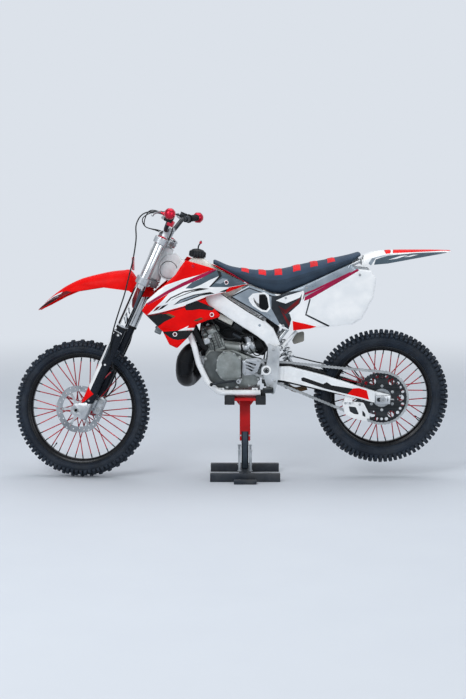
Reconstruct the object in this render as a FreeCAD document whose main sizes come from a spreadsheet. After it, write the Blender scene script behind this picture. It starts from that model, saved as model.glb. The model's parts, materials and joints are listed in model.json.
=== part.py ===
import FreeCAD, Part
import math
import os
import re
from FreeCAD import Placement, Rotation, Vector

# Dirt bike on its lift stand, in millimetres.
# +Z is up, the bike faces -X, and its left side is -Y.
# The origin is on the floor, under the middle of the stand.

doc = FreeCAD.newDocument("dirt_bike")
sheet = doc.addObject("Spreadsheet::Sheet", "Sizes")

driving = {
    # clearances shared by the whole bike
    "seat_gap": 0.3, "fit_gap": 0.15, "overrun": 5,
    # steering axis and fork
    "axis_x": -382.4, "axis_z": 1146, "rake": 24.5, "turned": -10,
    "leg_lead": 26, "leg_spread": 105, "leg_above": 50, "leg_below": 449, "leg_r": 27, "leg_thick_r": 29,
    "slider_r": 23.5, "slider_below": 850, "lug_r": 29, "lug_below": 938, "lug_high": 92, "axle_clamp_r": 26,
    "clamp_pinch_r": 37, "clamp_hub_r": 30, "upper_clamp_at": 12, "upper_clamp_thick": 30,
    "lower_clamp_at": -206, "lower_clamp_thick": 36, "stem_r": 15, "head_r": 31,
    "head_low": -164, "head_high": 6, "clamp_waist": 34,
    # handlebar and what it carries
    "bar_r": 11, "bar_half": 352, "bar_lead": 30, "bar_base": 84, "bar_rise": 94, "bar_sweep": 36,
    "bar_flat": 88, "bar_knee": 160, "bar_bend": 45, "bar_post_gap": 44, "bar_post_long": 34,
    "bar_post_wide": 34, "bar_post_above": 18, "grip_r": 17, "grip_long": 112, "knob_r": 27, "knob_long": 52,
    "perch_r": 17, "perch_long": 34, "perch_at": 200, "blade_wide": 12, "blade_thick": 7, "blade_long": 140,
    "blade_lead": 62, "cylinder_long": 38, "cylinder_wide": 30,
    # front wheel
    "front_axle_x": -814, "front_axle_z": 346, "front_tyre_r": 345, "front_tyre_wide": 86,
    "front_knob_high": 11, "knob_rows": 30,
    "front_bead_r": 268, "front_rim_inner": 254, "front_rim_wide": 50, "front_axle_r": 10, "front_axle_half": 128,
    "front_axle_bore": 7, "front_collar_r": 13.5, "front_hub_r": 22, "front_flange_r": 33, "front_flange_at": 32,
    "front_hub_half": 70,
    "front_disc_r": 120, "front_disc_inner": 88, "disc_thick": 3, "front_disc_at": 62,
    "rim_wall": 3, "rim_flange": 9, "flange_thick": 6, "spoke_r": 1.9, "spoke_gap": 0.8, "carrier_r": 38,
    "carrier_thick": 5, "spoke_count": 36, "spoke_lean": 62,
    # rear wheel
    "rear_axle_x": 678, "rear_axle_z": 409, "rear_tyre_r": 335, "rear_tyre_wide": 102, "rear_knob_high": 14,
    "rear_bead_r": 243, "rear_rim_inner": 230, "rear_rim_wide": 58, "rear_axle_r": 12, "rear_axle_half": 126,
    "rear_axle_bore": 8, "rear_collar_r": 16.2,
    "rear_hub_r": 30, "rear_flange_r": 46, "rear_flange_at": 34, "rear_hub_half": 77,
    "rear_disc_r": 110, "rear_disc_inner": 78, "rear_disc_at": 66,
    # chain and sprockets
    "chain_at": 66, "chain_half": 8.5, "chain_high": 15, "rear_pitch_r": 129, "front_pitch_r": 33,
    "front_sprocket_x": 40, "front_sprocket_z": 568, "sprocket_thick": 5.6, "tooth_gap": 8.2,
    "rear_sprocket_inner": 44, "rear_teeth": 51, "front_teeth": 13, "tooth_high": 5, "chain_links": 115,
    "link_waist": 2.5,
    # main frame
    "spar_at": 90, "spar_wide": 28, "spar_depth": 144, "spar_front_at": 34,
    "plate_at": 107, "plate_thick": 15, "plate_long": 75, "plate_high": 243, "gusset_long": 124,
    "frame_front": -346, "frame_rear": 152, "frame_low": 432, "frame_high": 1040, "head_gusset_wide": 74,
    "pivot_x": 104, "pivot_z": 553, "pivot_r": 9, "pivot_tube_r": 26, "tie_r": 17,
    "rail_r": 14, "rail_at": 90, "rail_z": 438.5, "rail_bend": 60, "cradle_front": -372,
    "subframe_r": 10, "subframe_at": 62.8, "boss_r": 7, "subframe_bend": 70,
    # swingarm
    "arm_inner": 81, "arm_wide": 29, "arm_depth": 80, "arm_relief": 88.5,
    "arm_tie_behind": 101, "arm_tie_below": 33, "arm_tie_long": 60, "arm_tie_high": 56,
    # engine
    "case_front": -205, "case_rear": 78, "case_low": 452, "case_high": 640, "case_half": 70, "case_narrow": 50,
    "barrel_flange": 12, "fin_reach": 6, "fin_thick": 3.2, "fin_count": 5,
    "valve_x": -30, "valve_long": 34, "valve_deep": 14, "valve_up": 70,
    "barrel_x": -137, "barrel_z": 636, "barrel_lean": 20, "barrel_r": 52, "barrel_high": 108,
    "barrel_block": 92, "head_cap_r": 46, "head_cap_high": 26, "plug_r": 9, "plug_high": 40,
    "ignition_x": -94.4, "ignition_z": 577.7, "ignition_r": 68, "ignition_thick": 22, "cover_step": 8,
    "clutch_x": -40, "clutch_z": 560, "clutch_r": 76, "clutch_thick": 26,
    "clutch_boss_r": 62, "clutch_flange": 12, "pump_x": -122, "pump_z": 520, "pump_r": 22, "pump_thick": 17,
    "guard_start": -14, "guard_long": 96, "guard_base": 524, "guard_high": 87, "guard_thick": 12,
    "carb_x": 28, "carb_z": 655, "carb_r": 27, "carb_long": 76, "carb_bowl_high": 58, "carb_tilt": 12,
    "carb_bell_r": 21.6,
    # exhaust
    "port_r": 22, "port_long": 16, "port_up": 60, "belly_r": 44, "stinger_r": 14,
    "stinger_lead": 132, "stinger_meet": 88, "silencer_r": 36, "silencer_at": 160,
    "silencer_x": 268, "silencer_z": 872, "silencer_long": 430, "silencer_tilt": 12,
    # tank, radiators, shrouds
    "tank_front": -288, "tank_long": 272, "tank_base": 905, "tank_high": 228, "tank_half": 54, "tank_boss_r": 9,
    "cap_x": -236, "cap_r": 31, "cap_high": 16, "vent_r": 4, "vent_high": 52,
    "radiator_behind": 108, "radiator_thick": 34, "radiator_low": -392, "radiator_high": 180,
    "radiator_tab_r": 8, "radiator_tab_share": 0.4, "radiator_inner": 62, "radiator_wide": 78,
    "shroud_ahead": 111.7, "shroud_long": 520, "shroud_below": 155.9, "shroud_high": 433.7,
    "shroud_front_at": 160, "shroud_rear_at": 120, "shroud_thick": 4,
    # seat, panels, rear fender, airbox
    "seat_start": -157, "seat_long": 724, "seat_base": 935, "seat_high": 198, "seat_half": 97,
    "seat_foot_long": 30, "seat_foot_high": 14,
    "panel_start": -74.7, "panel_long": 715.5, "panel_below": 186, "panel_high": 326.7,
    "panel_at": 114, "panel_thick": 4,
    "tail_gap": 5, "tail_long": 444, "tail_above": 132, "tail_high": 74, "tail_half": 84, "tail_wall": 4,
    "airbox_front": 70, "airbox_rear": 345, "airbox_low": 842, "airbox_high": 918,
    # front fender and number plate
    "fender_start": -1038, "fender_long": 592, "fender_base": 839, "fender_high": 210, "fender_half": 80,
    "fender_wall": 4, "fender_pad_high": 16, "number_wide": 205, "number_high": 212, "number_thick": 4,
    "number_low": -142,
    # fork guards and brakes
    "guard_low": -880, "guard_tall": 420, "guard_wall": 3, "guard_behind": 18,
    "caliper_long": 92, "caliper_deep": 42, "caliper_wide": 30, "caliper_slot": 9, "caliper_turn": 35,
    "disc_hole_r": 4.5, "disc_holes": 12,
    # footpegs, levers, shock
    "peg_x": 112, "peg_z": 462, "peg_long": 84, "peg_wide": 50, "peg_thick": 14,
    "shift_x": -32, "shift_z": 498, "shift_long": 135, "shift_drop": 14, "toe_long": 30,
    "brake_x": 112, "brake_z": 494, "brake_long": 172, "control_r": 6, "shock_r": 30, "shock_rod_r": 9,
    "control_boss_r": 9, "shock_tie_above": 28,
    "shock_low_x": 236, "shock_eye_r": 16,
    # chain guide
    "guide_ahead": 199.5, "guide_long": 140.5, "guide_below": 121.5, "guide_high": 109, "guide_half": 16,
    # stand
    "foot_long": 347, "foot_wide": 34, "foot_high": 42, "foot_spread": 133, "beam_wide": 60,
    "pedal_long": 112, "pedal_at": 200, "pedal_high": 23, "pedal_deep": 24, "pedal_arm": 14,
    "post_wide": 35, "sleeve_wide": 53, "sleeve_low": 227, "sleeve_high": 173, "sleeve_wall": 5,
    "collar_wide": 62, "collar_high": 22, "rod_r": 9, "rod_spread": 78, "rod_base": 42, "rod_high": 108,
    "top_wide": 230, "top_thick": 12, "pad_long": 50, "pad_wide": 236, "pad_spread": 77,
}
row = 0
for alias, value in driving.items():
    row += 1
    sheet.set("A%d" % row, alias)
    sheet.set("B%d" % row, str(value))
    sheet.setAlias("B%d" % row, alias)
doc.recompute()


class Named:
    """Reads a driving size from the sheet by its alias."""

    def __getattr__(self, alias):
        return float(sheet.get(alias))


mm = Named()
pieces = []


# Ways of making pieces

def piece(label, shape, place=None):
    made = doc.addObject("Part::Feature", label)
    made.Label = label
    made.Shape = shape
    if place is not None:
        made.Placement = place
    pieces.append(made)
    return made


def new_body(label, place=None):
    body = doc.addObject("PartDesign::Body", label)
    body.Label = label
    if place is not None:
        body.Placement = place
    pieces.append(body)
    return body


def sketch_on(body, role, name):
    sketch = body.newObject("Sketcher::SketchObject", name)
    plane = [item for item in body.Origin.OriginFeatures if item.Role == role][0]
    sketch.AttachmentSupport = [(plane, "")]
    sketch.MapMode = "FlatFace"
    return sketch


def draw_loop(sketch, points):
    count = len(points)
    for index in range(count):
        start = Vector(points[index][0], points[index][1], 0)
        stop = Vector(points[(index + 1) % count][0], points[(index + 1) % count][1], 0)
        sketch.addGeometry(Part.LineSegment(start, stop), False)


def turned_profile(body, name, points):
    """Revolves a closed profile of (across, radius) points about the body's Y axis."""
    sketch = sketch_on(body, "YZ_Plane", name + "_profile")
    draw_loop(sketch, points)
    turned = body.newObject("PartDesign::Revolution", name + "_turned")
    turned.Profile = sketch
    turned.ReferenceAxis = (sketch, ["H_Axis"])
    turned.Angle = 360
    return turned


def cylinder(r, length, base, direction):
    return Part.makeCylinder(r, length, base, direction)


def across(r, low, high, x=0, z=0):
    """A round bar along Y from low to high."""
    return Part.makeCylinder(r, high - low, Vector(x, low, z), Vector(0, 1, 0))


def block(x0, x1, y0, y1, z0, z1):
    return Part.makeBox(x1 - x0, y1 - y0, z1 - z0, Vector(x0, y0, z0))


def turned_along(profile, start, direction):
    """Revolves (along, radius) points about a line that leaves start in a direction."""
    wire = Part.makePolygon([Vector(r, 0, along) for along, r in profile + profile[:1]])
    solid = Part.Face(wire).revolve(Vector(0, 0, 0), Vector(0, 0, 1), 360)
    solid.Placement = Placement(start, Rotation(Vector(0, 0, 1), direction))
    return solid


def prism(r, sides, start, run):
    """A straight bar with flat sides."""
    ring = [Vector(r * math.cos(2 * math.pi * i / sides), r * math.sin(2 * math.pi * i / sides), 0)
            for i in range(sides)]
    face = Part.Face(Part.makePolygon(ring + ring[:1]))
    face.Placement = Placement(start, Rotation(Vector(0, 0, 1), run))
    return face.extrude(run)


def plate(points, low, high):
    """A flat plate: an outline of (x, z) points, from y low to y high."""
    wire = Part.makePolygon([Vector(x, low, z) for x, z in points + points[:1]])
    return Part.Face(wire).extrude(Vector(0, high - low, 0))


def loft(sections, ruled=True):
    wires = [Part.makePolygon(list(section) + [section[0]]) for section in sections]
    return Part.makeLoft(wires, True, ruled)


def bent_line(points, bend, steps=3):
    """Straight runs joined by arcs of one radius, or less where the runs are short."""
    line = [points[0]]
    for index in range(1, len(points) - 1):
        corner = points[index]
        back = (points[index - 1] - corner)
        ahead = (points[index + 1] - corner)
        half_turn = (math.pi - back.getAngle(ahead)) / 2
        room_share = 0.48
        reach = min(bend * math.tan(half_turn), room_share * min(back.Length, ahead.Length))
        radius = reach / math.tan(half_turn)
        back.normalize()
        ahead.normalize()
        inward = (back + ahead)
        inward.normalize()
        centre = corner + inward * (radius / math.cos(half_turn))
        first = corner + back * reach - centre
        final = corner + ahead * reach - centre
        for step in range(steps + 1):
            turn = 2 * half_turn * step / steps
            line.append(centre + (first * math.sin(2 * half_turn - turn) + final * math.sin(turn))
                        * (1 / math.sin(2 * half_turn)))
    return line + [points[-1]]


def swept(points, radii, sides=12, facing=None):
    """A tube of flat facets through rings that stand square to the line of points."""
    sections = []
    last = len(points) - 1
    ahead = points[1] - points[0]
    aside = ahead.cross(Vector(0, 1, 0))
    if aside.Length < ahead.Length / 2:
        aside = ahead.cross(Vector(0, 0, 1))
    for index, point in enumerate(points):
        ahead = points[min(index + 1, last)] - points[max(index - 1, 0)]
        if index == 0 and facing is not None:
            ahead = Vector(facing)
        ahead.normalize()
        aside = aside - ahead * aside.dot(ahead)
        aside.normalize()
        other = ahead.cross(aside)
        section = []
        for step in range(sides):
            turn = 2 * math.pi * step / sides
            section.append(point + aside * (radii[index] * math.cos(turn)) + other * (radii[index] * math.sin(turn)))
        sections.append(section)
    return loft(sections)


def tube(points, r, bend, sides=12):
    line = bent_line(points, bend)
    return swept(line, [r] * len(line), sides)


def cells(formula):
    """Turns the names in a formula into cells of the sheet."""
    return re.sub(r"[a-z][a-z_]+", lambda found: "Sizes." + found.group(0), formula)


def bound(kind, name, sizes, base):
    """A plain solid whose sizes and base point follow the sheet."""
    made = doc.addObject(kind, name)
    if name.endswith("across"):
        made.Placement = Placement(Vector(0, 0, 0), Rotation(Vector(1, 0, 0), -90))
    for key, formula in sizes.items():
        made.setExpression(key, cells(formula))
    for key, formula in zip("xyz", base):
        made.setExpression("Placement.Base." + key, cells(formula))
    return made


def bound_box(name, long, wide, high, base):
    return bound("Part::Box", name, {"Length": long, "Width": wide, "Height": high}, base)


def bound_rod(name, r, long, base):
    """A cylinder up Z, or along Y where its name ends so."""
    return bound("Part::Cylinder", name, {"Radius": r, "Height": long}, base)


def gathered(kind, label, parts, place=None, kept=True):
    """A fuse or a compound of solids that follow the sheet."""
    made = doc.addObject(kind, label)
    if kind == "Part::Compound":
        made.Links = parts
    else:
        made.Shapes = parts
    return finished(made, label, place, kept)


def cut_out(label, base, tool, place=None):
    made = doc.addObject("Part::Cut", label)
    made.Base = base
    made.Tool = tool
    return finished(made, label, place, True)


def finished(made, label, place, kept):
    made.Label = label
    if place is not None:
        made.Placement = place
    if kept:
        pieces.append(made)
    return made


def mirrored(shape):
    return shape.mirror(Vector(0, 0, 0), Vector(0, 1, 0))


def both_sides(shape):
    return Part.makeCompound([shape, mirrored(shape)])


def from_shares(shares, x, length, z, height):
    return [(x + along * length, z + up * height) for along, up in shares]


# Places that the pieces share
axis_point = Vector(mm.axis_x, 0, mm.axis_z)
axis_up = Vector(math.sin(math.radians(mm.rake)), 0, math.cos(math.radians(mm.rake)))
steered = Placement(Vector(0, 0, 0), Rotation(axis_up, mm.turned), axis_point)
fork_frame = steered * Placement(axis_point, Rotation(Vector(0, 1, 0), mm.rake))
front_axle = Vector(mm.front_axle_x, 0, mm.front_axle_z)
rear_axle = Vector(mm.rear_axle_x, 0, mm.rear_axle_z)
front_wheel_place = steered * Placement(front_axle, Rotation())
rear_wheel_place = Placement(rear_axle, Rotation())
panel_base = mm.seat_base - mm.panel_below
tail_base = mm.seat_base + mm.tail_above
tail_start = mm.seat_start + mm.seat_long + mm.tail_gap
axle_drop = (front_axle - axis_point).dot(axis_up)
axle_lead = (front_axle - axis_point).dot(Vector(-axis_up.z, 0, axis_up.x))


# Wheels

def knobby_tyre(name, place, r, wide, bead, rim_wide, knob):
    """A carcass of flat facets; every other sector has three knobs that stand out of the tread."""
    half = wide / 2
    seat = rim_wide / 2 - mm.rim_wall - mm.seat_gap
    low = bead + mm.seat_gap
    tall = r - knob - low
    lip = bead + mm.rim_flange + mm.seat_gap
    wall_shares = [(0.9, 0.42), (0.92, 0.72), (0.76, 0.94), (0.44, 0.99), (0.24, 1.0)]
    right = [(seat, low), (seat, lip)] + [(half * out, low + tall * up) for out, up in wall_shares]
    line = right + [(-y, z) for y, z in reversed(right)]
    shoulder = len(right) - 3
    raised = {shoulder - 1: (0.6, 0.8), shoulder + 2: (0.0, 1.0), shoulder + 5: (-0.6, 0.8)}
    count = len(line)
    sectors = 2 * int(mm.knob_rows)

    def at(sector, y, z):
        turn = 2 * math.pi * (sector % sectors) / sectors
        return Vector(z * math.cos(turn), y, z * math.sin(turn))

    faces = []

    def facet(corners):
        faces.append(Part.Face(Part.makePolygon(corners + corners[:1])))

    for sector in range(sectors):
        for index in range(count):
            inner, outer = line[index], line[(index + 1) % count]
            floor = [at(sector, *inner), at(sector, *outer), at(sector + 1, *outer), at(sector + 1, *inner)]
            if sector % 2 or index not in raised:
                facet(floor)
                continue
            out, up = raised[index]
            lift = [(y + out * knob, z + up * knob) for y, z in (inner, outer)]
            roof = [at(sector, *lift[0]), at(sector, *lift[1]), at(sector + 1, *lift[1]), at(sector + 1, *lift[0])]
            facet(roof)
            for side in range(4):
                near = (side + 1) % 4
                facet([floor[side], floor[near], roof[near], roof[side]])
    solid = Part.Solid(Part.Shell(faces))
    if solid.Volume < 0:
        solid.reverse()
    piece(name, solid, place)


def rim(name, place, bead, inner, wide):
    half = wide / 2
    wall = mm.rim_wall
    floor_share = 0.4
    flange = bead + mm.rim_flange
    right = [(half * floor_share, inner + wall), (half - wall, bead), (half - wall, flange), (half, flange),
             (half, bead - wall), (half * floor_share, inner)]
    body = new_body(name, place)
    turned_profile(body, name, right + [(-y, z) for y, z in reversed(right)])


def wire_hub(name, place, prefix, disc_side):
    """A turned hub with its laced spokes, ready for the axle."""
    hub_r = getattr(mm, prefix + "_hub_r")
    flange_r = getattr(mm, prefix + "_flange_r")
    flange_at = getattr(mm, prefix + "_flange_at")
    half = getattr(mm, prefix + "_hub_half")
    axle_r = getattr(mm, prefix + "_axle_r")
    rim_inner = getattr(mm, prefix + "_rim_inner")
    disc_at = getattr(mm, prefix + "_disc_at")
    web = mm.flange_thick / 2
    hub = across(hub_r, -half, half)
    for side in (-1, 1):
        hub = hub.fuse(across(flange_r, side * flange_at - web, side * flange_at + web))
    face = disc_at - mm.disc_thick / 2
    low, high = sorted((disc_side * face, disc_side * (face - mm.carrier_thick)))
    hub = hub.fuse(across(mm.carrier_r, low, high))
    if prefix == "rear":
        face = mm.chain_at - mm.sprocket_thick / 2
        hub = hub.fuse(across(mm.rear_flange_r + mm.carrier_thick, -face, -face + mm.carrier_thick))
    pin_share = 0.86
    spokes = []
    quarter = int(mm.spoke_count / 4)
    step = 360 / quarter
    for turn in range(quarter):
        for side in (-1, 1):
            for lean in (-1, 1):
                start_angle = math.radians(turn * step + side * step / 8 + lean * step / 4)
                end_angle = start_angle + math.radians(lean * mm.spoke_lean)
                reach = rim_inner - mm.spoke_gap
                start = Vector(flange_r * pin_share * math.cos(start_angle), side * flange_at + lean * web,
                               flange_r * pin_share * math.sin(start_angle))
                end = Vector(reach * math.cos(end_angle), side * web, reach * math.sin(end_angle))
                spokes.append(prism(mm.spoke_r, 4, start, end - start))
    hub = hub.multiFuse(spokes)
    bore = across(axle_r + mm.seat_gap, -half - mm.overrun, half + mm.overrun)
    piece(name, hub.cut(bore), place)


arm_count = 6


def brake_disc(name, place, r, inner, centre_y):
    """A disc with its open ring and the spider that reaches the hub."""
    low = centre_y - mm.disc_thick / 2
    high = centre_y + mm.disc_thick / 2
    ring = across(r, low, high).cut(across(inner, low - mm.overrun, high + mm.overrun))
    middle = (r + inner) / 2
    for turn in range(int(mm.disc_holes)):
        angle = 2 * math.pi * (turn + 0.5) / mm.disc_holes
        spot = Vector(middle * math.cos(angle), low - mm.overrun, middle * math.sin(angle))
        ring = ring.cut(prism(mm.disc_hole_r, 8, spot, Vector(0, mm.disc_thick + 2 * mm.overrun, 0)))
    spider = across(mm.carrier_r, low, high)
    arm_half = mm.carrier_thick
    for turn in range(arm_count):
        arm = block(0, inner + arm_half, low, high, -arm_half, arm_half)
        arm.rotate(Vector(0, 0, 0), Vector(0, 1, 0), turn * 360 / arm_count)
        spider = spider.fuse(arm)
    return ring.fuse(spider)


knobby_tyre("front_tyre", front_wheel_place, mm.front_tyre_r, mm.front_tyre_wide, mm.front_bead_r,
            mm.front_rim_wide, mm.front_knob_high)
knobby_tyre("rear_tyre", rear_wheel_place, mm.rear_tyre_r, mm.rear_tyre_wide, mm.rear_bead_r,
            mm.rear_rim_wide, mm.rear_knob_high)
rim("front_rim", front_wheel_place, mm.front_bead_r, mm.front_rim_inner, mm.front_rim_wide)
rim("rear_rim", rear_wheel_place, mm.rear_bead_r, mm.rear_rim_inner, mm.rear_rim_wide)
wire_hub("front_hub", front_wheel_place, "front", -1)
wire_hub("rear_hub", rear_wheel_place, "rear", 1)

front_disc = brake_disc("front_disc", front_wheel_place, mm.front_disc_r, mm.front_disc_inner, -mm.front_disc_at)
front_hole = across(mm.front_hub_r + mm.seat_gap, -mm.front_hub_half, 0)
piece("front_disc", front_disc.cut(front_hole), front_wheel_place)
rear_disc = brake_disc("rear_disc", rear_wheel_place, mm.rear_disc_r, mm.rear_disc_inner, mm.rear_disc_at)
rear_hole = across(mm.rear_hub_r + mm.seat_gap, 0, mm.rear_hub_half + mm.overrun)
piece("rear_disc", rear_disc.cut(rear_hole), rear_wheel_place)


def toothed(count, pitch_r):
    """Outline of a sprocket that stays just inside the chain."""
    tip = pitch_r - mm.tooth_gap
    foot = tip - mm.tooth_high
    tooth_shares = [(0.0, foot), (0.3, foot), (0.5, tip), (0.72, tip)]
    points = []
    for tooth in range(int(count)):
        for share, r in tooth_shares:
            angle = 2 * math.pi * (tooth + share) / count
            points.append((r * math.cos(angle), r * math.sin(angle)))
    return points


def rear_sprocket():
    low = -mm.chain_at - mm.sprocket_thick / 2
    high = -mm.chain_at + mm.sprocket_thick / 2
    wheel = plate(toothed(mm.rear_teeth, mm.rear_pitch_r), low, high)
    hole_r = (mm.rear_pitch_r - mm.rear_sprocket_inner) / 4
    ring_r = (mm.rear_pitch_r + mm.rear_sprocket_inner) / 2
    for turn in range(arm_count):
        angle = 2 * math.pi * turn / arm_count
        spot = Vector(ring_r * math.cos(angle), low - mm.overrun, ring_r * math.sin(angle))
        wheel = wheel.cut(prism(hole_r, 14, spot, Vector(0, mm.sprocket_thick + 2 * mm.overrun, 0)))
    wheel = wheel.cut(across(mm.rear_hub_r + mm.seat_gap, low - mm.overrun, high + mm.overrun))
    piece("rear_sprocket", wheel, rear_wheel_place)


rear_sprocket()


# Axles, each hollow and with a collar on either side of its hub

def axle(side, place, arm_face):
    """A hollow axle with a collar on either side of the hub."""
    half = side + "_axle_half"
    hub_half = side + "_hub_half"
    collar = "(%s - %s_hub_half - 2 * seat_gap)" % (arm_face, side)
    bar = bound_rod(side + "_bar_across", side + "_axle_r", "2 * " + half, ("0", "-" + half, "0"))
    collars = [bound_rod(side + "_left_collar_across", side + "_collar_r", collar,
                         ("0", "-(%s) + seat_gap" % arm_face, "0")),
               bound_rod(side + "_right_collar_across", side + "_collar_r", collar,
                         ("0", hub_half + " + seat_gap", "0"))]
    solid = gathered("Part::MultiFuse", side + "_axle_solid", [bar] + collars, kept=False)
    bore = bound_rod(side + "_bore_across", side + "_axle_bore", "2 * %s + 2 * overrun" % half,
                     ("0", "-%s - overrun" % half, "0"))
    cut_out(side + "_axle", solid, bore, place)


axle("front", front_wheel_place, "(leg_spread - lug_r)")
axle("rear", rear_wheel_place, "arm_inner")


# Fork: in its own frame Z runs up the steering axis and -X is forward

def fork_leg():
    upper = cylinder(mm.leg_r, mm.leg_above + mm.leg_below, Vector(-mm.leg_lead, -mm.leg_spread, -mm.leg_below),
                     Vector(0, 0, 1))
    seal_high = mm.leg_thick_r
    upper = upper.fuse(cylinder(mm.leg_thick_r, seal_high, Vector(-mm.leg_lead, -mm.leg_spread, -mm.leg_below),
                                Vector(0, 0, 1)))
    return upper


def fork_lug():
    """Slider tube with the casting that holds the axle."""
    foot = Vector(-mm.leg_lead, -mm.leg_spread, -mm.lug_below)
    lug = cylinder(mm.lug_r, mm.lug_high, foot, Vector(0, 0, 1))
    slider = cylinder(mm.slider_r, mm.lug_below - mm.leg_below - mm.seat_gap, foot, Vector(0, 0, 1))
    eye = across(mm.axle_clamp_r, -mm.leg_spread - mm.lug_r, -mm.leg_spread + mm.lug_r, -axle_lead, axle_drop)
    web = Part.makeBox(axle_lead - mm.leg_lead, 2 * mm.lug_r, mm.axle_clamp_r,
                       Vector(-axle_lead, -mm.leg_spread - mm.lug_r, axle_drop - mm.axle_clamp_r / 2))
    hole = across(mm.front_axle_r + mm.fit_gap, -mm.leg_spread - mm.lug_r - mm.overrun, 0, -axle_lead, axle_drop)
    return lug.fuse([slider, eye, web]).cut(hole)


piece("upper_fork_tubes", both_sides(fork_leg()), fork_frame)
piece("lower_fork_tubes", both_sides(fork_lug()), fork_frame)


def clamp(low, thick, hub_r):
    """One triple clamp: two pinch rings, a hub on the axis and the web between them."""
    ring = cylinder(mm.clamp_pinch_r, thick, Vector(-mm.leg_lead, -mm.leg_spread, low), Vector(0, 0, 1))
    other = mirrored(ring)
    hub = cylinder(hub_r, thick, Vector(0, 0, low), Vector(0, 0, 1))
    front = -mm.leg_lead - mm.clamp_waist
    back = hub_r / 2
    outline = [(front, -mm.leg_spread / 2), (-mm.leg_lead - mm.clamp_waist / 2, -mm.leg_spread),
               (-mm.leg_lead + mm.clamp_waist / 2, -mm.leg_spread), (back, -hub_r), (back, hub_r),
               (-mm.leg_lead + mm.clamp_waist / 2, mm.leg_spread),
               (-mm.leg_lead - mm.clamp_waist / 2, mm.leg_spread), (front, mm.leg_spread / 2)]
    wire = Part.makePolygon([Vector(x, y, low) for x, y in outline + outline[:1]])
    web = Part.Face(wire).extrude(Vector(0, 0, thick))
    return ring.fuse([other, hub, web])


def triple_clamps():
    upper = clamp(mm.upper_clamp_at, mm.upper_clamp_thick, mm.clamp_hub_r)
    lower = clamp(mm.lower_clamp_at, mm.lower_clamp_thick, mm.clamp_hub_r)
    stem = cylinder(mm.stem_r, mm.upper_clamp_at - mm.lower_clamp_at, Vector(0, 0, mm.lower_clamp_at),
                    Vector(0, 0, 1))
    base = mm.upper_clamp_at + mm.upper_clamp_thick
    posts = []
    for side in (-1, 1):
        posts.append(Part.makeBox(mm.bar_post_wide, mm.bar_post_long, mm.bar_base + mm.bar_post_above - base,
                                  Vector(-mm.bar_lead - mm.bar_post_wide / 2,
                                         side * mm.bar_post_gap - mm.bar_post_long / 2, base)))
    made = upper.fuse([lower, stem] + posts)
    for side in (-1, 1):
        made = made.cut(cylinder(mm.leg_r + mm.fit_gap, mm.leg_above + mm.leg_below,
                                 Vector(-mm.leg_lead, side * mm.leg_spread, -mm.leg_below), Vector(0, 0, 1)))
    bar_hole = across(mm.bar_r + mm.fit_gap, -mm.bar_flat, mm.bar_flat, -mm.bar_lead, mm.bar_base)
    piece("triple_clamps", made.cut(bar_hole), fork_frame)


triple_clamps()

bar_knee_share = 0.72
bar_end = Vector(-mm.bar_lead + mm.bar_sweep, mm.bar_half, mm.bar_base + mm.bar_rise)
bar_corner = Vector(-mm.bar_lead + mm.bar_sweep * 0.2, mm.bar_knee, mm.bar_base + mm.bar_rise * bar_knee_share)
bar_flat_end = Vector(-mm.bar_lead, mm.bar_flat + mm.bar_r, mm.bar_base)


def flip(point):
    return Vector(point.x, -point.y, point.z)


handlebar = tube([flip(bar_end), flip(bar_corner), flip(bar_flat_end), bar_flat_end, bar_corner, bar_end],
                 mm.bar_r, mm.bar_bend)
piece("handlebar", handlebar, fork_frame)
bar_run = bar_end - bar_corner
bar_run.normalize()


def on_bar(y):
    """The point of the bar's centre line at a distance y out from the middle, past the knee."""
    return bar_corner + bar_run * ((y - bar_corner.y) / bar_run.y)


def sleeve(r, start_y, length, hole_r):
    start = on_bar(start_y)
    made = cylinder(r, length, start, bar_run)
    if hole_r:
        made = made.cut(cylinder(hole_r, length + 2 * mm.overrun, start - bar_run * mm.overrun, bar_run))
    return made


grip_start = mm.bar_half - mm.grip_long
piece("grips", both_sides(sleeve(mm.grip_r, grip_start, mm.grip_long - mm.seat_gap, mm.bar_r + mm.fit_gap)),
      fork_frame)
knob_start = on_bar(mm.bar_half) + bar_run * mm.seat_gap
knob_shares = [(0.0, 0.0), (0.0, 0.62), (0.18, 0.92), (0.42, 1.0), (0.7, 0.9), (0.92, 0.55), (1.0, 0.0)]
knob = turned_along([(along * mm.knob_long, out * mm.knob_r) for along, out in knob_shares], knob_start, bar_run)
piece("bar_ends", both_sides(knob), fork_frame)


def bar_lever(with_reservoir):
    """A perch on the bar with its blade, and on the brake side the master cylinder."""
    perch = sleeve(mm.perch_r, mm.perch_at, mm.perch_long, 0)
    root = on_bar(mm.perch_at + mm.perch_long / 2)
    arm = Part.makeBox(mm.blade_lead, mm.blade_wide, mm.blade_wide,
                       root + Vector(-mm.blade_lead, -mm.blade_wide / 2, -mm.blade_wide / 2))
    blade = Part.makeBox(mm.blade_wide, mm.blade_long, mm.blade_thick,
                         root + Vector(-mm.blade_lead, 0, -mm.blade_thick / 2))
    made = perch.fuse([arm, blade])
    if with_reservoir:
        made = made.fuse(Part.makeBox(mm.cylinder_wide, mm.cylinder_long, mm.cylinder_wide,
                                      root + Vector(-mm.cylinder_wide - mm.perch_r / 2, -mm.perch_long / 2,
                                                    -mm.cylinder_wide / 2)))
    return made.cut(cylinder(mm.bar_r + mm.fit_gap, 2 * mm.blade_long, root - bar_run * mm.blade_long, bar_run))


left_lever = mirrored(bar_lever(False))
right_lever = bar_lever(True)
piece("levers", Part.makeCompound([left_lever, right_lever]), fork_frame)


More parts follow.
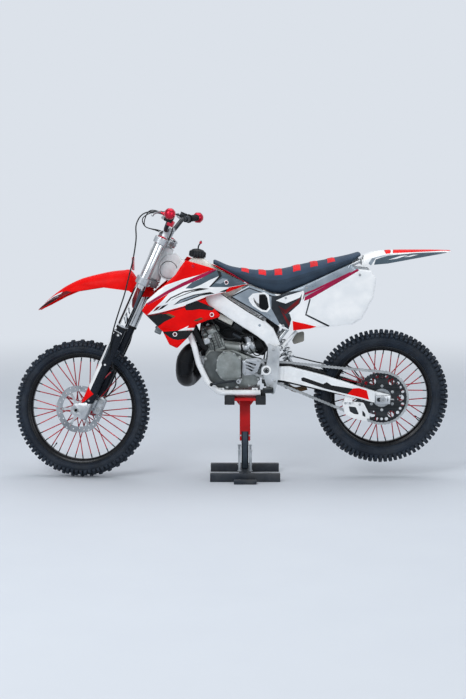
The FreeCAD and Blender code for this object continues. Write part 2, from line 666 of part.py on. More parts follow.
def fork_guard():
    """A curved shield in front of the slider and the outer side of the lug."""
    inside = mm.lug_r + mm.seat_gap
    outer = cylinder(inside + mm.guard_wall, mm.guard_tall,
                     Vector(-mm.leg_lead, -mm.leg_spread, mm.guard_low), Vector(0, 0, 1))
    inner = cylinder(inside, mm.guard_tall + 2 * mm.overrun,
                     Vector(-mm.leg_lead, -mm.leg_spread, mm.guard_low - mm.overrun), Vector(0, 0, 1))
    keep = Part.makeBox(2 * inside, 4 * inside, mm.guard_tall,
                        Vector(-mm.leg_lead - 2 * inside, -mm.leg_spread - 2 * inside, mm.guard_low))
    wrap = Part.makeBox(mm.guard_behind, 2 * inside, mm.guard_tall,
                        Vector(-mm.leg_lead, -mm.leg_spread - 2 * inside, mm.guard_low))
    shell = outer.cut(inner).common(keep.fuse(wrap))
    room = across(mm.axle_clamp_r + mm.seat_gap + mm.guard_wall, -mm.leg_spread - 2 * inside, 0,
                  -axle_lead, axle_drop)
    return shell.cut(room)


piece("fork_guards", both_sides(fork_guard()), fork_frame)


def front_caliper():
    """Two halves that straddle the disc, behind the left leg."""
    angle = math.radians(mm.caliper_turn)
    r = mm.front_disc_r - mm.caliper_deep / 3
    centre = Vector(-axle_lead + r * math.cos(angle), -mm.front_disc_at, axle_drop + r * math.sin(angle))
    made = Part.makeBox(mm.caliper_deep, mm.caliper_wide, mm.caliper_long,
                        Vector(centre.x - mm.caliper_deep / 2, centre.y - mm.caliper_wide / 2,
                               centre.z - mm.caliper_long / 2))
    bracket = Part.makeBox(centre.x + mm.leg_lead, mm.leg_spread - mm.front_disc_at, mm.caliper_long / 2,
                           Vector(-mm.leg_lead, -mm.leg_spread, centre.z - mm.caliper_long / 4))
    slot = across(mm.front_disc_r + mm.caliper_slot / 2, centre.y - mm.caliper_slot / 2,
                  centre.y + mm.caliper_slot / 2, -axle_lead, axle_drop)
    leg = cylinder(mm.lug_r + mm.seat_gap, mm.lug_below, Vector(-mm.leg_lead, -mm.leg_spread, -mm.lug_below),
                   Vector(0, 0, 1))
    return made.fuse(bracket).cut(slot).cut(leg)


piece("front_caliper", front_caliper(), fork_frame)


# Front fender: a channel along the wheel's line
fender_stations = [
    # along, crown, width, side drop, each a share
    (0.0, 0.0, 0.35, 0.06), (0.1, 0.22, 0.62, 0.14), (0.26, 0.52, 0.85, 0.2), (0.45, 0.78, 1.0, 0.24),
    (0.62, 0.93, 1.0, 0.28), (0.79, 1.0, 0.9, 0.32), (0.865, 0.62, 0.78, 0.3), (1.0, 0.46, 0.6, 0.3),
]


def channel(stations, x, length, z, height, half, wall):
    """An upside-down channel lofted through stations of shares."""
    across_shares = [(-1.0, 1.0), (-0.86, 0.3), (0.0, 0.0), (0.86, 0.3), (1.0, 1.0)]
    sections = []
    for along, crown, width, drop in stations:
        top = [Vector(x + along * length, side * width * half, z + crown * height - fall * drop * height)
               for side, fall in across_shares]
        under = [Vector(p.x, p.y * (1 - wall / (width * half)), p.z - wall) for p in top]
        sections.append(top + list(reversed(under)))
    return loft(sections)


front_fender = channel(fender_stations, mm.fender_start, mm.fender_long, mm.fender_base, mm.fender_high,
                       mm.fender_half, mm.fender_wall)
fender_pad = Part.makeBox(mm.leg_lead + mm.clamp_hub_r, 2 * mm.clamp_hub_r, mm.fender_pad_high,
                          Vector(-mm.leg_lead - mm.clamp_hub_r / 2, -mm.clamp_hub_r,
                                 mm.lower_clamp_at - mm.seat_gap - mm.fender_pad_high))
fender_pad.Placement = Placement(axis_point, Rotation(Vector(0, 1, 0), mm.rake))
piece("front_fender", front_fender.fuse(fender_pad), steered)


def number_plate():
    outline_shares = [(0.3, 0.0), (0.5, -0.04), (0.7, 0.0), (1.0, 0.55), (0.92, 0.96), (0.5, 1.0), (0.08, 0.96),
                      (0.0, 0.55)]
    points = []
    lead = mm.leg_lead + mm.clamp_pinch_r + mm.seat_gap
    for wide, up in outline_shares:
        y = (wide - 0.5) * mm.number_wide
        points.append(Vector(-lead, y, mm.number_low + up * mm.number_high))
    face = Part.Face(Part.makePolygon(points + points[:1]))
    strap = Part.makeBox(lead + mm.number_thick / 2 - mm.leg_lead - mm.clamp_waist - mm.seat_gap,
                         2 * mm.clamp_hub_r, mm.upper_clamp_thick,
                         Vector(-lead - mm.number_thick / 2, -mm.clamp_hub_r, mm.upper_clamp_at))
    plate_face = face.extrude(Vector(-mm.number_thick, 0, 0))
    piece("number_plate", plate_face.fuse(strap), fork_frame)


number_plate()


# Main frame: steering head, two spars and the pivot plates

spar_stations = [
    # along, up, tilt of the section in degrees, depth and how far out, as shares
    (0.0, 0.985, 62, 1.0, 0.0), (0.42, 0.762, 58, 0.6, 0.82), (0.92, 0.492, 56, 0.56, 1.0),
    (0.985, 0.39, 20, 0.44, 1.0),
]
shock_tie_shares = (0.88, 0.514)


def frame_spot(along, up):
    """A place in the frame's side view, by shares of its length and height."""
    return Vector(mm.frame_front + along * (mm.frame_rear - mm.frame_front), 0,
                  mm.frame_low + up * (mm.frame_high - mm.frame_low))


shock_tie = frame_spot(*shock_tie_shares) + Vector(0, 0, mm.shock_tie_above)


def spar():
    sections = []
    for along, up, tilt, deep, out in spar_stations:
        y = mm.spar_front_at + out * (mm.spar_at - mm.spar_front_at)
        lean = math.radians(tilt)
        reach = Vector(math.cos(lean), 0, math.sin(lean)) * (deep * mm.spar_depth / 2)
        side = Vector(0, mm.spar_wide / 2, 0)
        centre = frame_spot(along, up) - Vector(0, y, 0)
        sections.append([centre - reach - side, centre + reach - side, centre + reach + side,
                         centre - reach + side])
    return loft(sections)


def frame_plate():
    """The left pivot plate under the spar."""
    plate_shares = [(0.22, 1.0), (1.0, 1.0), (1.0, 0.36), (0.72, 0.0), (0.3, 0.12), (0.0, 0.4)]
    outline = from_shares(plate_shares, mm.pivot_x - mm.plate_thick, mm.plate_long, mm.frame_low, mm.plate_high)
    return plate(outline, -mm.plate_at - mm.plate_thick / 2, -mm.plate_at + mm.plate_thick / 2)


def main_frame():
    head = cylinder(mm.head_r, mm.head_high - mm.head_low, axis_point + axis_up * mm.head_low, axis_up)
    gusset_shares = [(0.2, 0.5), (0.3, 0.0), (1.0, 0.0), (1.15, 0.6), (0.9, 0.82), (0.5, 0.78)]
    head_foot = axis_point + axis_up * mm.head_low
    tall = (mm.head_high - mm.head_low) * axis_up.z
    gusset = plate(from_shares(gusset_shares, head_foot.x, mm.gusset_long, head_foot.z, tall),
                   -mm.head_gusset_wide / 2, mm.head_gusset_wide / 2)
    left_spar = spar()
    left_plate = frame_plate()
    ties = across(mm.tie_r, -mm.plate_at, mm.plate_at, mm.pivot_x + 2 * mm.plate_thick,
                  mm.frame_low + 2 * mm.tie_r)
    upper_tie = across(mm.tie_r, -mm.spar_at, mm.spar_at, shock_tie.x, shock_tie.z)
    made = head.fuse([gusset, left_spar, mirrored(left_spar), left_plate, mirrored(left_plate), ties, upper_tie])
    bore = cylinder(mm.stem_r + mm.seat_gap, mm.head_high - mm.head_low + 2 * mm.overrun,
                    axis_point + axis_up * (mm.head_low - mm.overrun), axis_up)
    pivot_hole = across(mm.pivot_r + mm.fit_gap, -2 * mm.plate_at, 2 * mm.plate_at, mm.pivot_x, mm.pivot_z)
    piece("main_frame", made.cut(bore).cut(pivot_hole))


main_frame()

cradle_shares = [
    # along, up and out, from under the steering head to the footpegs
    (0.0, 1.0, 0.34), (0.19, 0.58, 0.7), (0.27, 0.42, 1.0), (0.32, 0.26, 1.0), (0.42, 0.09, 1.0),
    (0.55, 0.0, 1.0), (1.0, 0.0, 1.0),
]
cradle_rear = mm.pivot_x - 2 * mm.rail_r
gusset_low = (axis_point + axis_up * mm.head_low).z


def cradle_points(side):
    """The tube's corners; its top end stops just under the flat of the head gusset."""
    long = cradle_rear - mm.cradle_front
    tall = gusset_low - mm.rail_r / 2 - mm.seat_gap - mm.rail_z
    return [Vector(mm.cradle_front + along * long, side * out * mm.rail_at, mm.rail_z + up * tall)
            for along, up, out in cradle_shares]


def cradle(side, r):
    return tube(cradle_points(side), r, mm.rail_bend)


def seated_on(shape, carrier, away):
    """Cuts a piece back to its seat on a carrier and keeps the main solid."""
    shifted = carrier.copy()
    shifted.translate(away)
    return max(shape.cut(carrier).cut(shifted).Solids, key=lambda solid: solid.Volume)


cradle_left = seated_on(cradle(-1, mm.rail_r), spar(), Vector(-mm.seat_gap, mm.seat_gap, -mm.seat_gap))
piece("cradle_left", cradle_left)
piece("cradle_right", mirrored(cradle_left))


def subframe():
    """Two upper rails under the seat, bolted inside the spars, each with a strut down to the frame."""
    knee_share = (0.464, 0.632)
    top_shares = [(0.0, 0.0), (0.25, 0.4), knee_share, (1.0, 1.096)]
    strut_shares = [(0.16, -0.48), (0.73, 0.862)]
    rail_end_share = 0.42
    root = shock_tie + Vector(-mm.spar_wide, -mm.subframe_at, mm.spar_wide)
    long = tail_start - mm.seat_gap - mm.subframe_r * rail_end_share - root.x
    high = tail_base - root.z

    def along_rail(along, up):
        return root + Vector(along * long, 0, up * high)

    rail = tube([along_rail(a, u) for a, u in top_shares], mm.subframe_r, mm.subframe_bend)
    strut_start, strut_end = [along_rail(a, u) for a, u in strut_shares]
    strut = cylinder(mm.subframe_r, (strut_end - strut_start).Length, strut_start, strut_end - strut_start)
    bosses = [across(mm.boss_r, -mm.panel_at + mm.seat_gap, -mm.subframe_at, place.x, place.z)
              for place in ((strut_start + strut_end) / 2, along_rail(*knee_share))]
    cross = across(mm.boss_r, -mm.subframe_at, mm.subframe_at, strut_end.x, strut_end.z)
    left = rail.fuse([strut] + bosses)
    made = left.fuse([mirrored(left), cross])
    piece("subframe", made)
    return made


rear_frame = subframe()


# Swingarm with the fixed chain loop that passes through it

arm_shares = [
    # along the line from the pivot to the axle, and out from it in shares of the arm's depth
    (-0.027, -0.217), (-0.007, 0.158), (0.19, 0.572), (0.48, 0.551), (0.825, 0.385), (0.93, 0.335),
    (1.065, 0.34), (1.072, -0.201), (0.992, -0.35), (0.821, -0.321), (0.199, -0.36), (0.037, -0.483),
]
pivot_at = Vector(mm.pivot_x, 0, mm.pivot_z)
arm_tie = pivot_at + Vector(mm.arm_tie_behind, 0, -mm.arm_tie_below)


def swingarm_side():
    run = rear_axle - pivot_at
    rise = Vector(-run.z, 0, run.x)
    rise.normalize()
    points = [pivot_at + run * along + rise * (out * mm.arm_depth) for along, out in arm_shares]
    return plate([(point.x, point.z) for point in points], -mm.arm_inner - mm.arm_wide, -mm.arm_inner)


def swingarm():
    left = swingarm_side()
    relief = block(mm.pivot_x - mm.arm_depth, mm.pivot_x + mm.arm_relief,
                   -mm.arm_inner - 2 * mm.arm_wide, -mm.plate_at + mm.plate_thick / 2 + mm.seat_gap,
                   mm.pivot_z - 2 * mm.arm_depth, mm.pivot_z + 2 * mm.arm_depth)
    left = left.cut(relief)
    pivot = across(mm.pivot_tube_r, -mm.arm_inner, mm.arm_inner, mm.pivot_x, mm.pivot_z)
    tie = block(arm_tie.x, arm_tie.x + mm.arm_tie_long, -mm.arm_inner, mm.arm_inner,
                arm_tie.z - mm.arm_tie_high / 2, arm_tie.z + mm.arm_tie_high / 2)
    made = left.fuse([mirrored(left), pivot, tie])
    pivot_hole = across(mm.pivot_r + mm.fit_gap, -2 * mm.arm_inner, 2 * mm.arm_inner, mm.pivot_x, mm.pivot_z)
    axle_hole = across(mm.rear_axle_r + mm.fit_gap, -2 * mm.arm_inner, 2 * mm.arm_inner,
                       mm.rear_axle_x, mm.rear_axle_z)
    piece("swingarm", made.cut(pivot_hole).cut(axle_hole))


swingarm()
pivot_bolt = bound_rod("pivot_bolt_across", "pivot_r", "2 * (plate_at + plate_thick)",
                       ("pivot_x", "-plate_at - plate_thick", "pivot_z"))
finished(pivot_bolt, "pivot_bolt", None, True)


def chain_outline(offset):
    """The closed line at a distance from the chain's pitch line."""
    front = Vector(mm.front_sprocket_x, 0, mm.front_sprocket_z)
    span = rear_axle - front
    lean = math.atan2(span.z, span.x)
    spread = math.acos((mm.front_pitch_r - mm.rear_pitch_r) / span.Length)
    r_front = mm.front_pitch_r + offset
    r_rear = mm.rear_pitch_r + offset

    def around(centre, r, angle):
        return centre + Vector(r * math.cos(angle), 0, r * math.sin(angle))

    up, down = lean + spread, lean - spread
    front_up, front_down = around(front, r_front, up), around(front, r_front, down)
    rear_up, rear_down = around(rear_axle, r_rear, up), around(rear_axle, r_rear, down)
    front_mid = around(front, r_front, lean + math.pi)
    rear_mid = around(rear_axle, r_rear, lean)
    return Part.Wire([Part.LineSegment(front_up, rear_up).toShape(),
                      Part.Arc(rear_up, rear_mid, rear_down).toShape(),
                      Part.LineSegment(rear_down, front_down).toShape(),
                      Part.Arc(front_down, front_mid, front_up).toShape()])


def chain():
    links = 2 * int(mm.chain_links)
    pins = chain_outline(mm.chain_high / 2).discretize(links + 1)[:-1]
    waists = chain_outline(mm.chain_high / 2 - mm.link_waist).discretize(links + 1)[:-1]
    line = [waists[index] if index % 2 else pins[index] for index in range(links)]
    outer = Part.Face(Part.makePolygon(line + line[:1]))
    inner = Part.Face(chain_outline(-mm.chain_high / 2))
    band = outer.cut(inner).extrude(Vector(0, 2 * mm.chain_half, 0))
    band.translate(Vector(0, -mm.chain_at - mm.chain_half, 0))
    piece("chain", band)


chain()


def chain_guide():
    outline_shares = [(0.0, 1.0), (0.767, 0.926), (1.0, 0.328), (0.964, 0.0), (0.386, 0.198), (0.117, 0.373)]
    guide_start = mm.rear_axle_x - mm.guide_ahead
    guide_base = mm.rear_axle_z - mm.guide_below
    ear_top = mm.rear_axle_z + mm.arm_depth
    outline = from_shares(outline_shares, guide_start, mm.guide_long, guide_base, mm.guide_high)
    body = plate(outline, -mm.chain_at - mm.guide_half, -mm.chain_at + mm.guide_half)
    ear = block(guide_start + mm.guide_half, guide_start + 3 * mm.guide_half,
                -mm.arm_inner - mm.guide_half, -mm.chain_at - mm.chain_half - mm.overrun / 2,
                guide_base + mm.guide_high / 2, ear_top)
    below_arm = swingarm_side()
    below_arm.translate(Vector(0, 0, -mm.seat_gap))
    ear = ear.cut(below_arm).cut(block(guide_start, guide_start + mm.guide_long, -mm.arm_inner, 0,
                                       guide_base + mm.guide_high, ear_top))
    ear = ear.Solids[0]
    for part in ear.Solids:
        if part.CenterOfMass.z < ear.CenterOfMass.z:
            ear = part
    body = body.fuse(ear)
    tunnel_half = mm.chain_half + mm.seat_gap * 2
    tunnel = Part.Face(chain_outline(mm.chain_high)).cut(Part.Face(chain_outline(-mm.chain_high)))
    tunnel = tunnel.extrude(Vector(0, 2 * tunnel_half, 0))
    tunnel.translate(Vector(0, -mm.chain_at - tunnel_half, 0))
    room = across(mm.rear_pitch_r, -mm.chain_at - tunnel_half, -mm.chain_at + tunnel_half,
                  mm.rear_axle_x, mm.rear_axle_z)
    piece("chain_guide", body.cut(tunnel).cut(room))


chain_guide()


# Engine: cases, barrel with its head, covers and carburettor

case_shares = [
    (0.0, 0.553), (0.032, 0.883), (0.095, 1.0), (0.505, 1.0), (0.675, 0.9), (0.802, 0.84), (0.96, 0.76),
    (1.0, 0.68), (1.0, 0.372), (0.929, 0.106), (0.739, 0.005), (0.272, 0.0), (0.067, 0.138), (0.004, 0.34),
]
crank_shares = [
    (0.004, 0.574), (0.032, 0.851), (0.117, 1.0), (0.491, 1.0), (0.661, 0.88), (0.668, 0.362), (0.618, 0.096),
    (0.512, 0.016), (0.272, 0.011), (0.074, 0.149), (0.007, 0.34),
]


def engine_cases():
    long = mm.case_rear - mm.case_front
    tall = mm.case_high - mm.case_low
    body = plate(from_shares(case_shares, mm.case_front, long, mm.case_low, tall), -mm.case_narrow, mm.case_half)
    crank = plate(from_shares(crank_shares, mm.case_front, long, mm.case_low, tall), -mm.case_half, -mm.case_narrow)
    teeth = [(mm.front_sprocket_x + x, mm.front_sprocket_z + z)
             for x, z in toothed(mm.front_teeth, mm.front_pitch_r)]
    sprocket = plate(teeth, -mm.chain_at - mm.sprocket_thick / 2, -mm.chain_at + mm.sprocket_thick / 2)
    shaft = across(mm.pivot_r, -mm.chain_at - mm.sprocket_thick, -mm.case_narrow,
                   mm.front_sprocket_x, mm.front_sprocket_z)
    piece("engine_cases", body.fuse([crank, sprocket, shaft]))


engine_cases()
barrel_up = Vector(-math.sin(math.radians(mm.barrel_lean)), 0, math.cos(math.radians(mm.barrel_lean)))
barrel_foot = Vector(mm.barrel_x, 0, mm.barrel_z)


carb_run = Vector(math.cos(math.radians(mm.carb_tilt)), 0, math.sin(math.radians(mm.carb_tilt)))


def cylinder_head():
    wide = mm.barrel_block
    core = wide / 2 - mm.fin_reach
    barrel = block(-core, core, -core, core, 0, mm.barrel_high)
    flanges = [block(-wide / 2, wide / 2, -wide / 2, wide / 2, low, low + mm.barrel_flange)
               for low in (0, mm.barrel_high - mm.barrel_flange)]
    step = (mm.barrel_high - 2 * mm.barrel_flange) / (mm.fin_count + 1)
    for index in range(int(mm.fin_count)):
        level = mm.barrel_flange + (index + 1) * step
        flanges.append(block(-core, core, -wide / 2, wide / 2, level - mm.fin_thick / 2, level + mm.fin_thick / 2))
    flanges.append(block(mm.valve_x - mm.valve_long / 2, mm.valve_x + mm.valve_long / 2,
                         -wide / 2 - mm.valve_deep, -core, mm.valve_up - mm.valve_long / 2,
                         mm.valve_up + mm.valve_long / 2))
    dome_shares = [(0.0, 0.0), (0.0, 1.0), (0.32, 0.98), (0.56, 0.88), (0.8, 0.7), (1.0, 0.4), (1.0, 0.0)]
    cap = turned_along([(along * mm.head_cap_high, out * mm.head_cap_r) for along, out in dome_shares],
                       Vector(0, 0, mm.barrel_high), Vector(0, 0, 1))
    plug = Part.makeCylinder(mm.plug_r, mm.plug_high, Vector(0, 0, mm.barrel_high + mm.head_cap_high))
    port = Part.makeCylinder(mm.port_r, wide / 2 + mm.port_long, Vector(0, 0, mm.port_up), Vector(-1, 0, 0))
    made = barrel.fuse(flanges + [cap, plug, port])
    made.Placement = Placement(barrel_foot, Rotation(Vector(0, 1, 0), -mm.barrel_lean))
    top = block(-2 * mm.case_half + mm.barrel_x, 2 * mm.case_half + mm.barrel_x, -2 * mm.case_half,
                2 * mm.case_half, mm.case_low, mm.case_high)
    intake_start = barrel_foot + barrel_up * (wide / 4)
    intake_end = Vector(mm.carb_x, 0, mm.carb_z) - carb_run * (mm.carb_long / 2 + mm.seat_gap)
    run = intake_end - intake_start
    intake = cylinder(mm.carb_r, run.Length - mm.carb_r / 2, intake_start, run)
    mouth = cylinder(mm.carb_r, mm.carb_r, intake_end - carb_run * mm.carb_r, carb_run)
    piece("cylinder_head", made.cut(top).fuse([intake.cut(top), mouth.cut(top)]))


cylinder_head()


def engine_covers():
    ignition_shares = [
        (-0.99, 0.0), (-0.96, 0.34), (-0.82, 0.66), (-0.49, 0.94), (-0.1, 1.0), (0.3, 0.96), (0.65, 0.77),
        (0.71, 0.58), (1.04, 0.55), (1.06, -0.55), (0.98, -0.88), (0.68, -0.91), (0.42, -1.0), (-0.05, -1.0),
        (-0.44, -0.94), (-0.76, -0.7), (-0.94, -0.38),
    ]
    inset_share = 0.88
    low = -mm.case_half - mm.ignition_thick
    ignition = plate(from_shares(ignition_shares, mm.ignition_x, mm.ignition_r, mm.ignition_z, mm.ignition_r),
                     low + mm.cover_step, -mm.case_half)
    face = [(along * inset_share, up * inset_share) for along, up in ignition_shares]
    ignition = ignition.fuse(plate(from_shares(face, mm.ignition_x, mm.ignition_r, mm.ignition_z, mm.ignition_r),
                                   low, -mm.case_half))
    clutch_shares = [
        (-1.0, 0.0), (-0.96, 0.4), (-0.76, 0.74), (-0.36, 0.96), (0.1, 1.0), (0.5, 0.88), (0.86, 0.54), (1.0, 0.1),
        (0.94, -0.38), (0.7, -0.76), (0.34, -0.95), (-0.1, -1.0), (-0.55, -0.9), (-0.86, -0.64), (-0.97, -0.34),
    ]
    clutch = plate(from_shares(clutch_shares, mm.clutch_x, mm.clutch_r, mm.clutch_z, mm.clutch_r),
                   mm.case_half, mm.case_half + mm.clutch_flange)
    clutch = clutch.fuse([across(mm.clutch_boss_r, mm.case_half, mm.case_half + mm.clutch_thick,
                                 mm.clutch_x, mm.clutch_z),
                          across(mm.pump_r, mm.case_half, mm.case_half + mm.pump_thick, mm.pump_x, mm.pump_z)])
    guard_shares = [(0.02, 0.76), (0.21, 0.95), (0.77, 1.0), (1.0, 0.87), (0.9, 0.55), (0.77, 0.18), (0.44, 0.02),
                    (0.1, 0.0), (0.0, 0.18)]
    outline = from_shares(guard_shares, mm.guard_start, mm.guard_long, mm.guard_base, mm.guard_high)
    outer = mm.chain_at + mm.chain_half + mm.overrun + mm.guard_thick
    guard = plate(outline, -outer, -outer + mm.guard_thick)
    slot_shares = [(0.17, 0.76), (0.25, 0.8), (0.71, 0.64), (0.71, 0.56), (0.62, 0.55)]
    slot_step_share = (-0.04, -0.17)
    for step in range(3):
        slot = [(along + step * slot_step_share[0], up + step * slot_step_share[1]) for along, up in slot_shares]
        guard = guard.cut(plate(from_shares(slot, mm.guard_start, mm.guard_long, mm.guard_base, mm.guard_high),
                                -outer - mm.overrun, -outer + mm.guard_thick + mm.overrun))
    posts = [across(mm.control_r, -outer, -mm.case_narrow, mm.guard_start + mm.control_r,
                    mm.guard_base + share * mm.guard_high) for share in (0.25, 0.75)]
    return Part.makeCompound([ignition, clutch, guard.cut(ignition).fuse(posts)])


piece("engine_covers", engine_covers())


def carburettor():
    throat = Part.makeCylinder(mm.carb_r, mm.carb_long, Vector(-mm.carb_long / 2, 0, 0), Vector(1, 0, 0))
    bowl = Part.makeBox(mm.carb_long / 2, 2 * mm.carb_r, mm.carb_bowl_high,
                        Vector(-mm.carb_long / 4, -mm.carb_r, -mm.carb_bowl_high / 2))
    bell = Part.makeCylinder(mm.carb_bell_r, mm.carb_bowl_high, Vector(0, 0, mm.carb_r / 2))
    made = throat.fuse([bowl, bell])
    made.Placement = Placement(Vector(mm.carb_x, 0, mm.carb_z), Rotation(Vector(0, 1, 0), -mm.carb_tilt))
    piece("carburettor", made)


carburettor()


# Exhaust: expansion chamber on the right and the silencer behind it

barrel_ahead = Vector(-barrel_up.z, 0, barrel_up.x)
port_face = barrel_foot + barrel_up * mm.port_up + barrel_ahead * (mm.barrel_block / 2)
port_end = port_face + barrel_ahead * mm.port_long
silencer_run = Vector(math.cos(math.radians(mm.silencer_tilt)), 0, math.sin(math.radians(mm.silencer_tilt)))
silencer_start = Vector(mm.silencer_x, mm.silencer_at, mm.silencer_z)


def eased(points, values):
    """Adds two points on a smooth line between each pair, with their values."""
    line, kept = [], []
    last = len(points) - 1
    for index in range(last):
        before, start = points[max(index - 1, 0)], points[index]
        stop, after = points[index + 1], points[min(index + 2, last)]
        for step in range(3):
            share = step / 3
            square, cube = share ** 2, share ** 3
            line.append((before * (2 * square - share - cube) + start * (2 - 5 * square + 3 * cube)
                         + stop * (share + 4 * square - 3 * cube) + after * (cube - square)) * 0.5)
            kept.append(values[index] + (values[index + 1] - values[index]) * share)
    return line + [points[-1]], kept + [values[-1]]


def exhaust():
    """The chamber drops from the port, loops under to the right and rises into the stinger."""
    stations = [
        # forward, right, up and radius, each a share of the named size it follows
        (0.6, 0.0, 0.82, 0.85), (0.92, 0.06, 0.58, 1.0),
        (1.0, 0.2, 0.28, 1.0), (0.96, 0.5, 0.05, 0.98), (0.72, 0.86, 0.0, 0.92), (0.4, 1.0, 0.14, 0.9),
        (0.1, 1.0, 0.42, 0.82), (-0.2, 0.98, 0.7, 0.62), (-0.6, 0.94, 0.92, 0.42),
    ]
    low = mm.rail_z + mm.belly_r
    out = mm.rail_at + mm.rail_r + mm.belly_r + mm.overrun
    lead = port_end.x - (mm.frame_front + mm.belly_r)
    start = port_end + barrel_ahead * mm.seat_gap
    centres = [start] + [Vector(start.x - a * lead, b * out, low + c * (start.z - low)) for a, b, c, d in stations]
    radii = [mm.port_r] + [d * mm.belly_r for a, b, c, d in stations]
    tail_share = (1.25, 0.92, 1.12)
    centres.append(Vector(port_end.x + tail_share[0] * lead, tail_share[1] * out,
                          low + tail_share[2] * (start.z - low)))
    radii.append(mm.stinger_r)
    back = centres[-1] - centres[-3]
    back.normalize()
    line, sizes = eased(centres, radii)
    tail = bent_line([centres[-1], centres[-1] + back * mm.stinger_lead,
                      silencer_start - silencer_run * mm.stinger_meet,
                      silencer_start - silencer_run * mm.seat_gap], mm.stinger_meet)
    piece("exhaust_pipe", swept(line + tail[1:], sizes + [mm.stinger_r] * (len(tail) - 1), 14, barrel_ahead))


exhaust()
silencer = doc.addObject("Part::Cylinder", "silencer_can")
silencer.setExpression("Radius", cells("silencer_r"))
silencer.setExpression("Height", cells("silencer_long"))
finished(silencer, "silencer", Placement(silencer_start, Rotation(Vector(0, 0, 1), silencer_run)), True)


# Tank, radiators and shrouds

def tank():
    stations = [
        # along, top, bottom and width, each a share
        (0.0, 0.72, 0.3, 0.4), (0.1, 0.9, 0.2, 0.5), (0.2, 1.0, 0.16, 0.6), (0.33, 0.9, 0.12, 0.74),
        (0.47, 0.68, 0.06, 0.9), (0.72, 0.5, 0.0, 1.0), (1.0, 0.33, 0.0, 1.0),
    ]
    tank_section_shares = [(-1.0, 1.0), (-1.0, 0.25), (-0.5, 0.0), (0.5, 0.0), (1.0, 0.25), (1.0, 1.0)]
    sections = []
    for along, top, low, wide in stations:
        x = mm.tank_front + along * mm.tank_long
        z1 = mm.tank_base + top * mm.tank_high
        z0 = mm.tank_base + low * mm.tank_high
        half = wide * mm.tank_half
        sections.append([Vector(x, side * half, z1 - fall * (z1 - z0)) for side, fall in tank_section_shares])
    middle = mm.tank_front + stations[4][0] * mm.tank_long
    boss = across(mm.tank_boss_r, -mm.spar_at, mm.spar_at, middle, mm.tank_base + mm.tank_boss_r * 2)
    for side in (-1, 1):
        seat_on = spar() if side < 0 else mirrored(spar())
        seat_on.translate(Vector(0, -side * mm.seat_gap, 0))
        boss = boss.cut(seat_on)
    boss = boss.common(block(middle - mm.spar_at, middle + mm.spar_at, -mm.spar_at + mm.spar_wide / 2,
                             mm.spar_at - mm.spar_wide / 2, mm.tank_base, mm.tank_base + mm.tank_high))
    piece("fuel_tank", loft(sections).fuse(boss))


tank()
cap_base = ("cap_x", "0", "tank_base + tank_high + seat_gap")
gathered("Part::MultiFuse", "tank_cap", [bound_rod("cap_disc", "cap_r", "cap_high", cap_base),
                                         bound_rod("cap_vent", "vent_r", "vent_high", cap_base)])

radiator_box = Part.makeBox(mm.radiator_thick, mm.radiator_wide, mm.radiator_high,
                            Vector(mm.radiator_behind, -mm.radiator_inner - mm.radiator_wide, mm.radiator_low))
radiator_box.Placement = Placement(axis_point, Rotation(Vector(0, 1, 0), mm.rake))
tab_at = cradle_points(-1)[0] + (cradle_points(-1)[1] - cradle_points(-1)[0]) * mm.radiator_tab_share
tab = across(mm.radiator_tab_r, -mm.radiator_inner - mm.radiator_tab_r, tab_at.y, tab_at.x, tab_at.z)
radiator = radiator_box.fuse(tab).cut(cradle(-1, mm.rail_r + mm.seat_gap))
radiator = max(radiator.Solids, key=lambda solid: solid.Volume)
piece("radiators", both_sides(radiator))

shroud_shares = [
    (0.412, 1.0), (0.688, 0.901), (1.0, 0.724), (0.822, 0.643), (0.541, 0.576), (0.398, 0.479), (0.417, 0.439),
    (0.628, 0.471), (0.733, 0.383), (0.726, 0.351), (0.615, 0.32), (0.503, 0.264), (0.483, 0.201), (0.429, 0.122),
    (0.33, 0.0), (0.257, 0.044), (0.197, 0.192), (0.0, 0.432), (0.049, 0.55), (0.189, 0.7), (0.314, 0.834),
    (0.366, 0.929),
]


def shroud(side):
    slope = mm.shroud_front_at - mm.shroud_rear_at
    middle = radiator_box.CenterOfMass
    start = middle.x - mm.shroud_ahead
    base = middle.z - mm.shroud_below
    points = []
    for along, up in shroud_shares:
        points.append(Vector(start + along * mm.shroud_long, side * (mm.shroud_front_at - along * slope),
                             base + up * mm.shroud_high))
    face = Part.Face(Part.makePolygon(points + points[:1]))
    skin = face.extrude(Vector(0, -side * mm.shroud_thick, 0))
    low, high = sorted((side * (mm.radiator_inner + mm.radiator_wide + mm.seat_gap),
                        side * (mm.shroud_front_at - slope * mm.shroud_ahead / mm.shroud_long
                                - mm.shroud_thick / 2)))
    return skin.fuse(across(mm.radiator_tab_r, low, high, middle.x, middle.z))


piece("shroud_left", shroud(-1))
piece("shroud_right", shroud(1))


# Seat, side panels, airbox and rear fender

